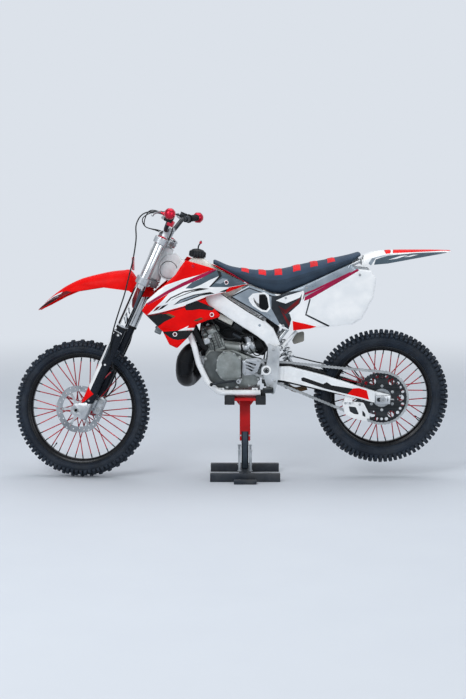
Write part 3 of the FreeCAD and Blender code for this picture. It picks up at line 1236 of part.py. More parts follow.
def seat():
    stations = [
        # along, top, bottom and width, each a share
        (0.0, 0.8, 0.68, 0.6), (0.113, 0.641, 0.488, 0.68), (0.24, 0.56, 0.25, 0.8), (0.37, 0.53, 0.04, 0.94),
        (0.43, 0.56, 0.0, 1.0), (0.48, 0.59, 0.012, 1.0), (0.63, 0.71, 0.25, 1.0), (0.79, 0.82, 0.54, 0.95),
        (0.93, 0.93, 0.8, 0.86), (1.0, 1.0, 0.9, 0.74),
    ]
    seat_section_shares = [(-1.0, 1.0), (-0.92, 0.3), (-0.62, 0.04), (0.0, 0.0), (0.62, 0.04), (0.92, 0.3), (1.0, 1.0)]
    sections = []
    for along, top, low, wide in stations:
        x = mm.seat_start + along * mm.seat_long
        z1 = mm.seat_base + top * mm.seat_high
        z0 = mm.seat_base + low * mm.seat_high
        half = wide * mm.seat_half
        sections.append([Vector(x, side * half, z1 - fall * (z1 - z0)) for side, fall in seat_section_shares])
    foot_x = mm.seat_start + stations[6][0] * mm.seat_long
    foot_z = mm.seat_base + stations[6][2] * mm.seat_high
    foot = block(foot_x, foot_x + mm.seat_foot_long, -mm.spar_at, mm.spar_at,
                 foot_z - mm.seat_foot_high, foot_z + mm.seat_foot_high)
    piece("seat", seated_on(loft(sections).fuse(foot), rear_frame, Vector(0, 0, mm.seat_gap)))


seat()

panel_shares = [
    (0.0, 0.512), (0.131, 0.685), (0.288, 0.556), (0.354, 0.541), (0.51, 0.685), (0.823, 1.0), (0.875, 0.93),
    (0.967, 0.907), (1.0, 0.786), (0.982, 0.499), (0.904, 0.181), (0.839, 0.095), (0.656, 0.059), (0.42, 0.0),
    (0.367, 0.023), (0.328, 0.08),
]
window_shares = [(0.125, 0.484), (0.229, 0.57), (0.268, 0.354), (0.255, 0.297), (0.197, 0.326)]


def side_panel(side):
    low, high = sorted((side * mm.panel_at, side * (mm.panel_at + mm.panel_thick)))
    panel = plate(from_shares(panel_shares, mm.panel_start, mm.panel_long, panel_base, mm.panel_high), low, high)
    window = plate(from_shares(window_shares, mm.panel_start, mm.panel_long, panel_base, mm.panel_high),
                   low - mm.overrun, high + mm.overrun)
    return panel.cut(window)


piece("side_panel_left", side_panel(-1))
piece("side_panel_right", side_panel(1))
airbox = bound_box("airbox_box", "airbox_rear - airbox_front", "2 * (subframe_at - subframe_r - seat_gap)",
                   "airbox_high - airbox_low",
                   ("airbox_front", "-subframe_at + subframe_r + seat_gap", "airbox_low"))
finished(airbox, "airbox", None, True)

tail_stations = [
    (0.0, 0.6, 1.0, 0.62), (0.14, 0.86, 1.0, 0.8), (0.29, 1.0, 1.0, 0.9), (0.6, 0.99, 0.92, 0.44),
    (0.86, 0.97, 0.76, 0.2), (1.0, 0.93, 0.5, 0.08),
]
tail = channel(tail_stations, tail_start, mm.tail_long, tail_base, mm.tail_high, mm.tail_half, mm.tail_wall)
flange_share = 0.38
tail_flange = block(tail_start, tail_start + mm.tail_wall, -mm.spar_at + mm.tail_wall * 2,
                    mm.spar_at - mm.tail_wall * 2, tail_base, tail_base + mm.tail_high * flange_share)
piece("rear_fender", tail.fuse(tail_flange))


# Shock absorber, rear caliper, footpegs and foot controls

def shock():
    beside = Vector(math.cos(math.radians(2 * mm.barrel_lean)), 0, math.sin(math.radians(2 * mm.barrel_lean)))
    top = shock_tie + beside * (mm.tie_r + mm.shock_eye_r + mm.seat_gap)
    low = Vector(mm.shock_low_x, 0, arm_tie.z + mm.arm_tie_high / 2 + mm.shock_eye_r + mm.seat_gap)
    run = low - top
    body_share = 0.66
    collar = top + run * ((mm.tie_r + mm.shock_r) / run.Length)
    made = cylinder(mm.shock_r, run.Length * body_share, collar, run)
    made = made.fuse(cylinder(mm.shock_rod_r, run.Length, top, run))
    made = made.fuse(across(mm.shock_eye_r, -mm.shock_eye_r, mm.shock_eye_r, top.x, top.z))
    made = made.fuse(across(mm.shock_eye_r, -mm.shock_eye_r, mm.shock_eye_r, low.x, low.z))
    piece("shock", made)


shock()

rear_caliper_x = mm.rear_axle_x - mm.rear_disc_r + mm.caliper_deep / 3
caliper_body = block(rear_caliper_x - mm.caliper_deep / 2, rear_caliper_x + mm.caliper_deep / 2,
                     mm.rear_disc_at - mm.caliper_wide / 2, mm.rear_disc_at + mm.caliper_wide / 2 - mm.seat_gap,
                     mm.rear_axle_z, mm.rear_axle_z + mm.caliper_long)
caliper_room = across(mm.rear_disc_r + mm.caliper_slot / 2, mm.rear_disc_at - mm.caliper_slot / 2,
                      mm.rear_disc_at + mm.caliper_slot / 2, mm.rear_axle_x, mm.rear_axle_z)
piece("rear_caliper", caliper_body.cut(caliper_room))

peg_start = mm.plate_at + mm.plate_thick / 2 + mm.seat_gap
peg = block(mm.peg_x - mm.peg_wide / 2, mm.peg_x + mm.peg_wide / 2, -peg_start - mm.peg_long, -peg_start,
            mm.peg_z - mm.peg_thick / 2, mm.peg_z + mm.peg_thick / 2)
piece("footpegs", both_sides(peg))


def foot_controls():
    """Shift lever on the left, brake pedal on the right."""
    shift_y = -mm.rail_at - mm.rail_r - mm.control_r - mm.overrun
    root = Vector(mm.shift_x, shift_y, mm.shift_z)
    reach = root + Vector(-mm.shift_long, 0, -mm.shift_drop)
    shaft = across(mm.control_r, shift_y, -mm.case_half, root.x, root.z)
    arm = cylinder(mm.control_r, mm.shift_long, root, reach - root)
    toe = across(mm.control_r, shift_y - mm.toe_long, shift_y, reach.x, reach.z)
    brake_y = mm.plate_at + mm.plate_thick / 2 + mm.seat_gap + mm.control_r
    hinge = Vector(mm.brake_x, brake_y, mm.brake_z)
    front = hinge + Vector(-mm.brake_long, 0, -mm.shift_drop)
    lever = cylinder(mm.control_r, mm.brake_long, hinge, front - hinge)
    boss = across(mm.control_boss_r, brake_y - mm.control_r, brake_y + mm.control_r, hinge.x, hinge.z)
    pad = across(mm.control_r, brake_y, brake_y + mm.toe_long, front.x, front.z)
    return Part.makeCompound([arm.fuse([toe, shaft]), lever.fuse([boss, pad])])


piece("foot_controls", foot_controls())


# Lift stand: base, post, sleeve, platform and pads

def stand():
    feet = [bound_box("foot_" + name, "foot_long", "foot_wide", "foot_high",
                      ("-foot_long / 2", sign + "foot_spread - foot_wide / 2", "0"))
            for name, sign in (("left", "-"), ("right", ""))]
    beam = bound_box("foot_beam", "beam_wide", "2 * foot_spread", "foot_high",
                     ("-beam_wide / 2", "-foot_spread", "0"))
    pedal = bound_box("foot_pedal", "pedal_long", "pedal_deep", "pedal_high",
                      ("-pedal_long / 2", "-pedal_at - pedal_deep / 2", "0"))
    arms = [bound_box("pedal_arm_" + name, "pedal_arm", "pedal_at - foot_spread", "pedal_arm",
                      (place, "-pedal_at", "0"))
            for name, place in (("front", "-pedal_long / 2 + pedal_arm / 2"), ("rear", "pedal_long / 2 - 3 * pedal_arm / 2"))]
    gathered("Part::MultiFuse", "stand_base", feet + [beam, pedal] + arms)
    post = bound_box("post_box", "post_wide", "post_wide", "sleeve_low + sleeve_high - top_thick - foot_high",
                     ("-post_wide / 2", "-post_wide / 2", "foot_high"))
    finished(post, "stand_post", None, True)
    rods = [bound_rod("rod_" + name, "rod_r", "rod_high", ("0", sign + "rod_spread", "rod_base"))
            for name, sign in (("left", "-"), ("right", ""))]
    gathered("Part::Compound", "stand_rods", rods)
    tube_box = bound_box("sleeve_tube", "sleeve_wide", "sleeve_wide", "sleeve_high",
                         ("-sleeve_wide / 2", "-sleeve_wide / 2", "sleeve_low"))
    ring = bound_box("sleeve_collar", "collar_wide", "collar_wide", "collar_high",
                     ("-collar_wide / 2", "-collar_wide / 2", "sleeve_low"))
    hollow = "post_wide + 2 * seat_gap"
    core = bound_box("sleeve_core", hollow, hollow, "sleeve_high - sleeve_wall + overrun",
                     ("-post_wide / 2 - seat_gap", "-post_wide / 2 - seat_gap", "sleeve_low - overrun"))
    solid = gathered("Part::MultiFuse", "sleeve_solid", [tube_box, ring], kept=False)
    cut_out("stand_sleeve", solid, core)
    platform = bound_box("platform_plate", "2 * pad_spread + pad_long", "top_wide", "top_thick",
                         ("-pad_spread - pad_long / 2", "-top_wide / 2", "sleeve_low + sleeve_high"))
    finished(platform, "stand_platform", None, True)
    pad_tall = "rail_z - rail_r - seat_gap - sleeve_low - sleeve_high - top_thick"
    pads = [bound_box("pad_" + name, "pad_long", "pad_wide", pad_tall,
                      (sign + "pad_spread - pad_long / 2", "-pad_wide / 2", "sleeve_low + sleeve_high + top_thick"))
            for name, sign in (("front", "-"), ("rear", ""))]
    gathered("Part::Compound", "stand_pads", pads)


stand()

doc.recompute()
failed = [item.Label for item in doc.Objects if "Invalid" in item.State or "Error" in item.State]
if failed:
    raise RuntimeError("failed: " + ", ".join(failed))
os.makedirs("parts", exist_ok=True)
for item in pieces:
    shape = item.Shape
    if shape.isNull() or not shape.isValid():
        raise RuntimeError("bad shape: " + item.Label)
    shape.exportStep("parts/%s.step" % item.Label)
    print(item.Label, len(shape.Solids), round(shape.Volume / 1000))
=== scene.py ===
import json
from math import acos, atan2, copysign, cos, exp, hypot, pi, radians, sin, tan

import bmesh
import bpy
from mathutils import Matrix, Vector
from mathutils.geometry import delaunay_2d_cdt, tessellate_polygon


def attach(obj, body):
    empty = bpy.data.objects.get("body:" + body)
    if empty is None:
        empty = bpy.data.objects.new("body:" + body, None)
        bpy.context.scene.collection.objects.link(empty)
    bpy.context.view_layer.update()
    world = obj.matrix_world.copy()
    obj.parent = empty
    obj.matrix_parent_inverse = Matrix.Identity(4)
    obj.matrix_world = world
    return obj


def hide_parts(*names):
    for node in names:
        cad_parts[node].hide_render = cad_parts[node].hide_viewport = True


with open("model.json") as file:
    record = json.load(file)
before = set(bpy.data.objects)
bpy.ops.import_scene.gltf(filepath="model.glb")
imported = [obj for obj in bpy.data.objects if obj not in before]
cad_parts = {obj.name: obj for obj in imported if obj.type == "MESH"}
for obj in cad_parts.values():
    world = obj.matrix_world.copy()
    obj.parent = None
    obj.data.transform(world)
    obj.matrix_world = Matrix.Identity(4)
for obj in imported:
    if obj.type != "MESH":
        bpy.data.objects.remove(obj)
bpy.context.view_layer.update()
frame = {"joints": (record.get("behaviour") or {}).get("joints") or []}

# Lengths below are millimetres. +Z is up, the bike faces -X and its left side is -Y.
unit = 0.001


# Camera, floor and light

camera = {"place": (-0.060, -8.630, 1.717), "tiltDown": 7.1, "lens": 89.92, "sensor": 36.0}
room = {"reach": 14.0, "curve": 3.0, "high": 9.0, "steps": 10, "sides": 96, "colour": "#D0D6DD",
        "spots": "#CBD1D9", "far": "#DCE2EA", "fade": (2.2, 6.5)}
lamps = [
    # name, place, size, watts
    ("keyLamp", (-3.2, -5.2, 4.6), 3.4, 230),
    ("fillLamp", (3.8, -5.4, 2.4), 3.2, 80),
    ("overLamp", (0.2, 0.6, 4.8), 4.2, 120),
]
skyLight = {"colour": "#EEF3FA", "strength": 0.52}


def tone(code):
    parts = [int(code[i:i + 2], 16) / 255 for i in (1, 3, 5)]
    return tuple(c / 12.92 if c <= 0.04045 else ((c + 0.055) / 1.055) ** 2.4 for c in parts) + (1.0,)


def addNode(tree, kind, inputs=None, **settings):
    made = tree.nodes.new("ShaderNode" + kind)
    for key, value in settings.items():
        setattr(made, key, value)
    for key, value in (inputs or {}).items():
        if isinstance(value, bpy.types.NodeSocket):
            tree.links.new(value, made.inputs[key])
        else:
            made.inputs[key].default_value = value
    return made


def mixed(tree, amount, base, over):
    return addNode(tree, "Mix", {"Factor": amount, 6: base, 7: over}, data_type="RGBA").outputs[2]


def addObject(name, data):
    made = bpy.data.objects.new(name, data)
    bpy.context.scene.collection.objects.link(made)
    return made


def startMaterial(name):
    material = bpy.data.materials.new(name)
    material.use_nodes = True
    tree = material.node_tree
    return material, tree, tree.nodes["Principled BSDF"], addNode(tree, "TexCoord").outputs["Object"]


def setUpCamera():
    data = bpy.data.cameras.new("photoCamera")
    data.lens = camera["lens"]
    data.sensor_width = camera["sensor"]
    made = addObject("photoCamera", data)
    made.location = camera["place"]
    made.rotation_euler = (radians(90 - camera["tiltDown"]), 0, 0)
    bpy.context.scene.camera = made


def setUpRoom():
    # a round floor that curves up all round, so that it stands behind the bike from every side
    foot = room["reach"] - room["curve"]
    line = [(foot * k / 4, 0.0) for k in range(1, 5)]
    for step in range(1, room["steps"] + 1):
        turn = pi / 2 * step / room["steps"]
        line.append((foot + room["curve"] * sin(turn), room["curve"] * (1 - cos(turn))))
    line.append((room["reach"], room["high"]))
    sides = room["sides"]
    points = [(r * cos(2 * pi * k / sides), r * sin(2 * pi * k / sides), z) for r, z in line for k in range(sides)]
    faces = [tuple(range(sides))]
    for i in range(len(line) - 1):
        for k in range(sides):
            low, after = i * sides, (k + 1) % sides
            faces.append((low + k, low + sides + k, low + sides + after, low + after))
    mesh = bpy.data.meshes.new("paleFloor")
    mesh.from_pydata(points, [], faces)
    mesh.shade_smooth()
    made = addObject("paleFloor", mesh)
    mesh.materials.append(makeFloorFinish())


def makeFloorFinish():
    material, tree, shader, place = startMaterial("paleFloor")
    spots = addNode(tree, "TexNoise", {"Vector": place, "Scale": 3.0, "Detail": 5.0})
    tint = mixed(tree, spots.outputs[0], tone(room["colour"]), tone(room["spots"]))
    tree.links.new(tint, shader.inputs["Base Color"])
    shader.inputs["Roughness"].default_value = 0.7
    # away from the bike the floor and the wall fade to one pale tone, for what is seen and mirrored only
    away = addNode(tree, "VectorMath", {0: place}, operation="LENGTH")
    fade = addNode(tree, "MapRange", {"Value": away.outputs["Value"], "From Min": room["fade"][0],
                                      "From Max": room["fade"][1]}, interpolation_type="SMOOTHSTEP")
    rays = addNode(tree, "LightPath").outputs
    seen = addNode(tree, "Math", {0: rays["Is Camera Ray"], 1: rays["Is Glossy Ray"]}, operation="MAXIMUM")
    shown = addNode(tree, "Math", {0: seen.outputs[0], 1: rays["Is Transmission Ray"]}, operation="MAXIMUM")
    amount = addNode(tree, "Math", {0: shown.outputs[0], 1: fade.outputs[0]}, operation="MULTIPLY")
    pale = addNode(tree, "Emission", {"Color": tone(room["far"])})
    both = addNode(tree, "MixShader", {0: amount.outputs[0], 1: shader.outputs[0], 2: pale.outputs[0]})
    tree.links.new(both.outputs[0], tree.nodes["Material Output"].inputs["Surface"])
    return material


def setUpLight():
    world = bpy.data.worlds.new("studio")
    bpy.context.scene.world = world
    world.use_nodes = True
    tree = world.node_tree
    back = tree.nodes["Background"]
    back.inputs["Color"].default_value = tone(skyLight["colour"])
    back.inputs["Strength"].default_value = skyLight["strength"]
    for name, place, size, watts in lamps:
        data = bpy.data.lights.new(name, "AREA")
        data.size = size
        data.energy = watts
        made = addObject(name, data)
        made.location = place
        made.visible_camera = False
        aim = Vector((0, 0, 0.6)) - Vector(place)
        made.rotation_euler = aim.to_track_quat("-Z", "Y").to_euler()
    bpy.context.scene.view_settings.view_transform = "Standard"


setUpCamera()
setUpRoom()
setUpLight()
print("camera, floor and light")


# Finishes. Every one has its own colour change, grain, wear and dust

finishes = {
    # colour, its darker patches, roughness from and to, grain, bump, metal, then what makes it special:
    # worn edges and dust with their amounts, cells for a leather grain, shine of plain plastic
    "redPlastic": ("#EA0D0B", "#D8090A", 0.34, 0.5, 900, 0.05, 0, {"shine": 0.08}),
    "whitePlastic": ("#F1F2F2", "#E3E6E8", 0.26, 0.4, 900, 0.05, 0),
    "creamPlastic": ("#EDEDE6", "#DAD9CF", 0.3, 0.45, 600, 0.08, 0),
    "slateFilm": ("#50616C", "#44525C", 0.28, 0.4, 700, 0.05, 0),
    "greyFilm": ("#98A3AC", "#7F8A94", 0.25, 0.4, 240, 0.08, 0.45),
    "blackFilm": ("#16181B", "#0E1012", 0.25, 0.42, 700, 0.05, 0),
    "magentaFilm": ("#A80F46", "#8E0C3B", 0.25, 0.4, 700, 0.05, 0),
    "darkRedFilm": ("#7D1219", "#4A0D12", 0.28, 0.42, 500, 0.05, 0),
    "frameWhite": ("#EFF1F2", "#DFE3E6", 0.22, 0.38, 500, 0.06, 0, {"dust": ("#B9B4AB", 0.25)}),
    "blackPlastic": ("#11161C", "#0A0D12", 0.34, 0.55, 800, 0.12, 0, {"wear": ("#565C63", 0.35)}),
    "guardBlack": ("#0D1621", "#080F18", 0.22, 0.4, 700, 0.06, 0),
    "tyreRubber": ("#1D2733", "#141B24", 0.5, 0.75, 700, 0.25, 0,
                   {"wear": ("#3C4653", 0.5), "dust": ("#5B5F63", 0.22)}),
    "softRubber": ("#17191C", "#0F1113", 0.55, 0.8, 900, 0.2, 0),
    "padRubber": ("#26292E", "#1A1C20", 0.6, 0.85, 400, 0.3, 0, {"dust": ("#6A6A68", 0.3)}),
    "rimBlack": ("#14171B", "#0D0F12", 0.22, 0.36, 500, 0.04, 0.6, {"wear": ("#6B7178", 0.25)}),
    "spokeRed": ("#B80E2A", "#9E0B22", 0.28, 0.42, 600, 0.03, 0.2),
    "anodRed": ("#CC1233", "#A80F2C", 0.2, 0.32, 500, 0.04, 0.65, {"wear": ("#E7A0AC", 0.2)}),
    "hubAlloy": ("#B9BEC3", "#8E949A", 0.25, 0.42, 420, 0.12, 0.9, {"dust": ("#7B776F", 0.3)}),
    "discSteel": ("#A9AEB3", "#83888D", 0.18, 0.34, 260, 0.08, 1.0),
    "forkSilver": ("#CFD2D4", "#B7BABD", 0.14, 0.24, 300, 0.03, 0.95),
    "clampAlloy": ("#BFC3C7", "#9DA2A7", 0.28, 0.44, 420, 0.1, 0.85, {"wear": ("#DDE0E3", 0.3)}),
    "castAlloy": ("#9AA09F", "#7C8382", 0.4, 0.6, 380, 0.4, 0.75,
                  {"wear": ("#C4C8C8", 0.4), "dust": ("#57564F", 0.55)}),
    "darkCast": ("#5E6465", "#3F4445", 0.42, 0.65, 380, 0.45, 0.7,
                 {"wear": ("#9EA3A4", 0.45), "dust": ("#34342F", 0.6)}),
    "frameSilver": ("#C9CDD0", "#A9AEB2", 0.26, 0.42, 350, 0.08, 0.8, {"dust": ("#7F7B73", 0.3)}),
    "boltSteel": ("#B4B7B9", "#8B8E91", 0.25, 0.4, 500, 0.06, 1.0),
    "darkSteel": ("#3A3F44", "#26292D", 0.32, 0.5, 400, 0.12, 0.85),
    "chainSteel": ("#B9BCBE", "#94989A", 0.3, 0.46, 600, 0.1, 0.9, {"dust": ("#5B5651", 0.2)}),
    "sprocketDark": ("#1B2026", "#16191C", 0.28, 0.45, 400, 0.06, 0.7, {"wear": ("#9A9EA2", 0.4)}),
    "pipeBlack": ("#181B20", "#0F1114", 0.3, 0.52, 160, 0.15, 0.65, {"dust": ("#3A3733", 0.3)}),
    "silencerAlloy": ("#A6ABB0", "#8A8F94", 0.28, 0.42, 500, 0.05, 0.95),
    "finAlloy": ("#7E8387", "#5E6367", 0.4, 0.6, 300, 0.15, 0.8),
    "seatVinyl": ("#33455A", "#2C3C4E", 0.55, 0.72, 1100, 0.35, 0, {"cells": True}),
    "seatSide": ("#2C3C4C", "#253342", 0.5, 0.68, 1400, 0.3, 0, {"cells": True}),
    "ribRed": ("#DB1420", "#BE1019", 0.5, 0.68, 1100, 0.3, 0, {"cells": True}),
    "cableBlack": ("#1B1F22", "#121517", 0.38, 0.55, 800, 0.08, 0),
    "flapGrey": ("#85847D", "#6D6C66", 0.55, 0.75, 300, 0.2, 0),
    "linkBrown": ("#6B4E2C", "#4A3620", 0.45, 0.65, 300, 0.3, 0.4),
    "standRed": ("#C80D12", "#A90B10", 0.28, 0.45, 300, 0.12, 0, {"wear": ("#5A2A28", 0.3)}),
    "standBlack": ("#101C29", "#0A131D", 0.35, 0.55, 260, 0.15, 0.3,
                   {"wear": ("#6A6F76", 0.35), "dust": ("#6D6B66", 0.25)}),
    "standPost": ("#4B5661", "#39424C", 0.3, 0.48, 300, 0.1, 0.7),
}
madeFinishes = {}


def makeFinish(name):
    if name in madeFinishes:
        return madeFinishes[name]
    colour, shade, smooth, coarse, grain, bump, metal, *more = finishes[name]
    special = more[0] if more else {}
    material, tree, shader, place = startMaterial(name)
    patches = addNode(tree, "TexNoise", {"Vector": place, "Scale": 14, "Detail": 5.0})
    spread = addNode(tree, "MapRange", {"Value": patches.outputs[0], "From Min": 0.36, "From Max": 0.66})
    painted = mixed(tree, spread.outputs[0], tone(colour), tone(shade))
    fine = addNode(tree, "TexNoise", {"Vector": place, "Scale": grain / 6, "Detail": 6.0})
    if "dust" in special:
        code, most = special["dust"]
        drift = addNode(tree, "TexNoise", {"Vector": place, "Scale": 9.0, "Detail": 9.0, "Roughness": 0.7})
        amount = addNode(tree, "MapRange", {"Value": drift.outputs[0], "From Min": 0.45, "From Max": 0.75,
                                            "To Max": most})
        painted = mixed(tree, amount.outputs[0], painted, tone(code))
    if "wear" in special:
        code, most = special["wear"]
        edge = addNode(tree, "NewGeometry")
        rub = addNode(tree, "MapRange", {"Value": edge.outputs["Pointiness"], "From Min": 0.53, "From Max": 0.62,
                                         "To Max": most})
        broken = addNode(tree, "Math", {0: rub.outputs[0], 1: fine.outputs[0]}, operation="MULTIPLY")
        painted = mixed(tree, broken.outputs[0], painted, tone(code))
    tree.links.new(painted, shader.inputs["Base Color"])
    rough = addNode(tree, "MapRange", {"Value": fine.outputs[0], "From Min": 0.3, "From Max": 0.7,
                                       "To Min": smooth, "To Max": coarse})
    tree.links.new(rough.outputs[0], shader.inputs["Roughness"])
    if "cells" in special:
        texture = addNode(tree, "TexVoronoi", {"Vector": place, "Scale": grain})
    else:
        texture = addNode(tree, "TexNoise", {"Vector": place, "Scale": grain, "Detail": 3.0})
    relief = addNode(tree, "Bump", {"Strength": bump, "Distance": 0.0006, "Height": texture.outputs[0]})
    tree.links.new(relief.outputs[0], shader.inputs["Normal"])
    shader.inputs["Metallic"].default_value = metal
    shader.inputs["Specular IOR Level"].default_value = special.get("shine", 0.5 if metal else 0.22)
    madeFinishes[name] = material
    return material


# Shapes: each piece is gathered from lofts, turnings, tubes, plates and boxes

sharpTurn = radians(32)
scratch = bpy.data.meshes.new("scratch")


def rounded(points, steps=4):
    # (a, b, r) corners get an arc of radius r, (a, b) corners stay sharp
    made = []
    for index, (a, b, *r) in enumerate(points):
        if not any(r):
            made.append((a, b))
            continue
        corner = Vector((a, b))
        back = Vector(points[index - 1][:2]) - corner
        ahead = Vector(points[(index + 1) % len(points)][:2]) - corner
        reach = min(r[0] / tan(back.angle(ahead) / 2), back.length * 0.48, ahead.length * 0.48)
        made += [tuple(spot) for spot in arcOver(corner, back, ahead, reach, steps)]
    return made


def arcOver(corner, back, ahead, reach, steps):
    start, end = corner + back.normalized() * reach, corner + ahead.normalized() * reach
    return [start.lerp(corner, k / steps).lerp(corner.lerp(end, k / steps), k / steps) for k in range(steps + 1)]


def mirrored(line):
    # half an outline and its mirror image, in the order round it
    return line + [(x, -y, *r) for x, y, *r in reversed(line) if y]


def flow(points, steps):
    # a smooth line through points of any size
    points = [Vector(p) for p in points]
    made = []
    for i, (b, c) in enumerate(zip(points, points[1:])):
        a = points[i - 1] if i else b * 2 - c
        d = points[i + 2] if i + 2 < len(points) else c * 2 - b
        for step in range(steps):
            t = step / steps
            made.append(0.5 * (2 * b + (c - a) * t + (2 * a - 5 * b + 4 * c - d) * t * t
                               + (3 * b - a - 3 * c + d) * t * t * t))
    return made + [points[-1].copy()]


def stationsAt(stations, t):
    # smooth values between rows whose first number grows
    last = len(stations) - 1
    i = 0
    while i < last - 1 and stations[i + 1][0] < t:
        i += 1
    rows = [stations[max(i - 1, 0)], stations[i], stations[i + 1], stations[min(i + 2, last)]]
    wide = rows[2][0] - rows[1][0]
    s = max(0.0, min(1.0, (t - rows[1][0]) / wide))
    made = []
    for k in range(1, len(rows[0])):
        slopeIn = (rows[2][k] - rows[0][k]) / max(rows[2][0] - rows[0][0], 1e-6) * wide
        slopeOut = (rows[3][k] - rows[1][k]) / max(rows[3][0] - rows[1][0], 1e-6) * wide
        a, b = rows[1][k], rows[2][k]
        made.append(a + slopeIn * s + (3 * (b - a) - 2 * slopeIn - slopeOut) * s * s
                    + (2 * (a - b) + slopeIn + slopeOut) * s ** 3)
    return made


def sidesOf(loop):
    return zip(loop, loop[1:] + loop[:1])


def inside(point, loop):
    found = False
    x, y = point
    for (ax, ay), (bx, by) in sidesOf(loop):
        if (ay > y) != (by > y) and x < (bx - ax) * (y - ay) / (by - ay) + ax:
            found = not found
    return found


def edgeDistance(point, loop):
    best = 1e9
    x, y = point
    for (ax, ay), (bx, by) in sidesOf(loop):
        dx, dy = bx - ax, by - ay
        t = max(0.0, min(1.0, ((x - ax) * dx + (y - ay) * dy) / max(dx * dx + dy * dy, 1e-9)))
        best = min(best, hypot(ax + dx * t - x, ay + dy * t - y))
    return best


def inset(loop, reach):
    # moves a loop inwards, keeping only points that stay clear of its edges
    area = sum(ax * by - bx * ay for (ax, ay), (bx, by) in sidesOf(loop))
    turn = 1 if area > 0 else -1
    made = []
    for index, (x, y) in enumerate(loop):
        run = Vector(loop[(index + 1) % len(loop)]) - Vector(loop[index - 1])
        if run.length < 1e-6:
            continue
        run.normalize()
        spot = (x - run.y * reach * turn, y + run.x * reach * turn)
        if inside(spot, loop) and edgeDistance(spot, loop) > reach * 0.8:
            made.append(spot)
    return made


def eased(points, bend, steps=6):
    # straight runs joined by arcs
    points = [Vector(p) for p in points]
    made = [points[0]]
    for before, corner, after in zip(points, points[1:], points[2:]):
        back, ahead = before - corner, after - corner
        reach = min(bend * tan((pi - back.angle(ahead)) / 2), 0.48 * back.length, 0.48 * ahead.length)
        made += arcOver(corner, back, ahead, reach, steps)
    return made + [points[-1]]


def circle(x, z, r, count):
    return [(x + r * cos(2 * pi * k / count), z + r * sin(2 * pi * k / count)) for k in range(count)]


def polar(turn, r):
    return (r * cos(turn), r * sin(turn))


def spin(angle, axis):
    return Matrix.Rotation(radians(angle), 4, axis)


def swell(value, power):
    return copysign(abs(value) ** power, value)


def woven(rings, count, loop):
    # faces between rings of count points, with both ends closed unless the rings form a loop
    faces = []
    for i in range(rings if loop else rings - 1):
        low, high = i * count, (i + 1) % rings * count
        for k in range(count):
            after = (k + 1) % count
            faces.append((low + k, low + after, high + after, high + k))
    if not loop:
        faces += [tuple(range(count)), tuple(range((rings - 1) * count, rings * count))]
    return faces


def facing(start, run):
    # a place whose Z runs along a direction, where 1 and -1 mean right and left across the bike
    run = Vector((0, run, 0) if isinstance(run, int) else run)
    return Matrix.Translation(Vector(start)) @ run.to_track_quat("Z", "Y").to_matrix().to_4x4()


def camel(node):
    first, *others = node.split("_")
    return first + "".join(word.capitalize() for word in others)


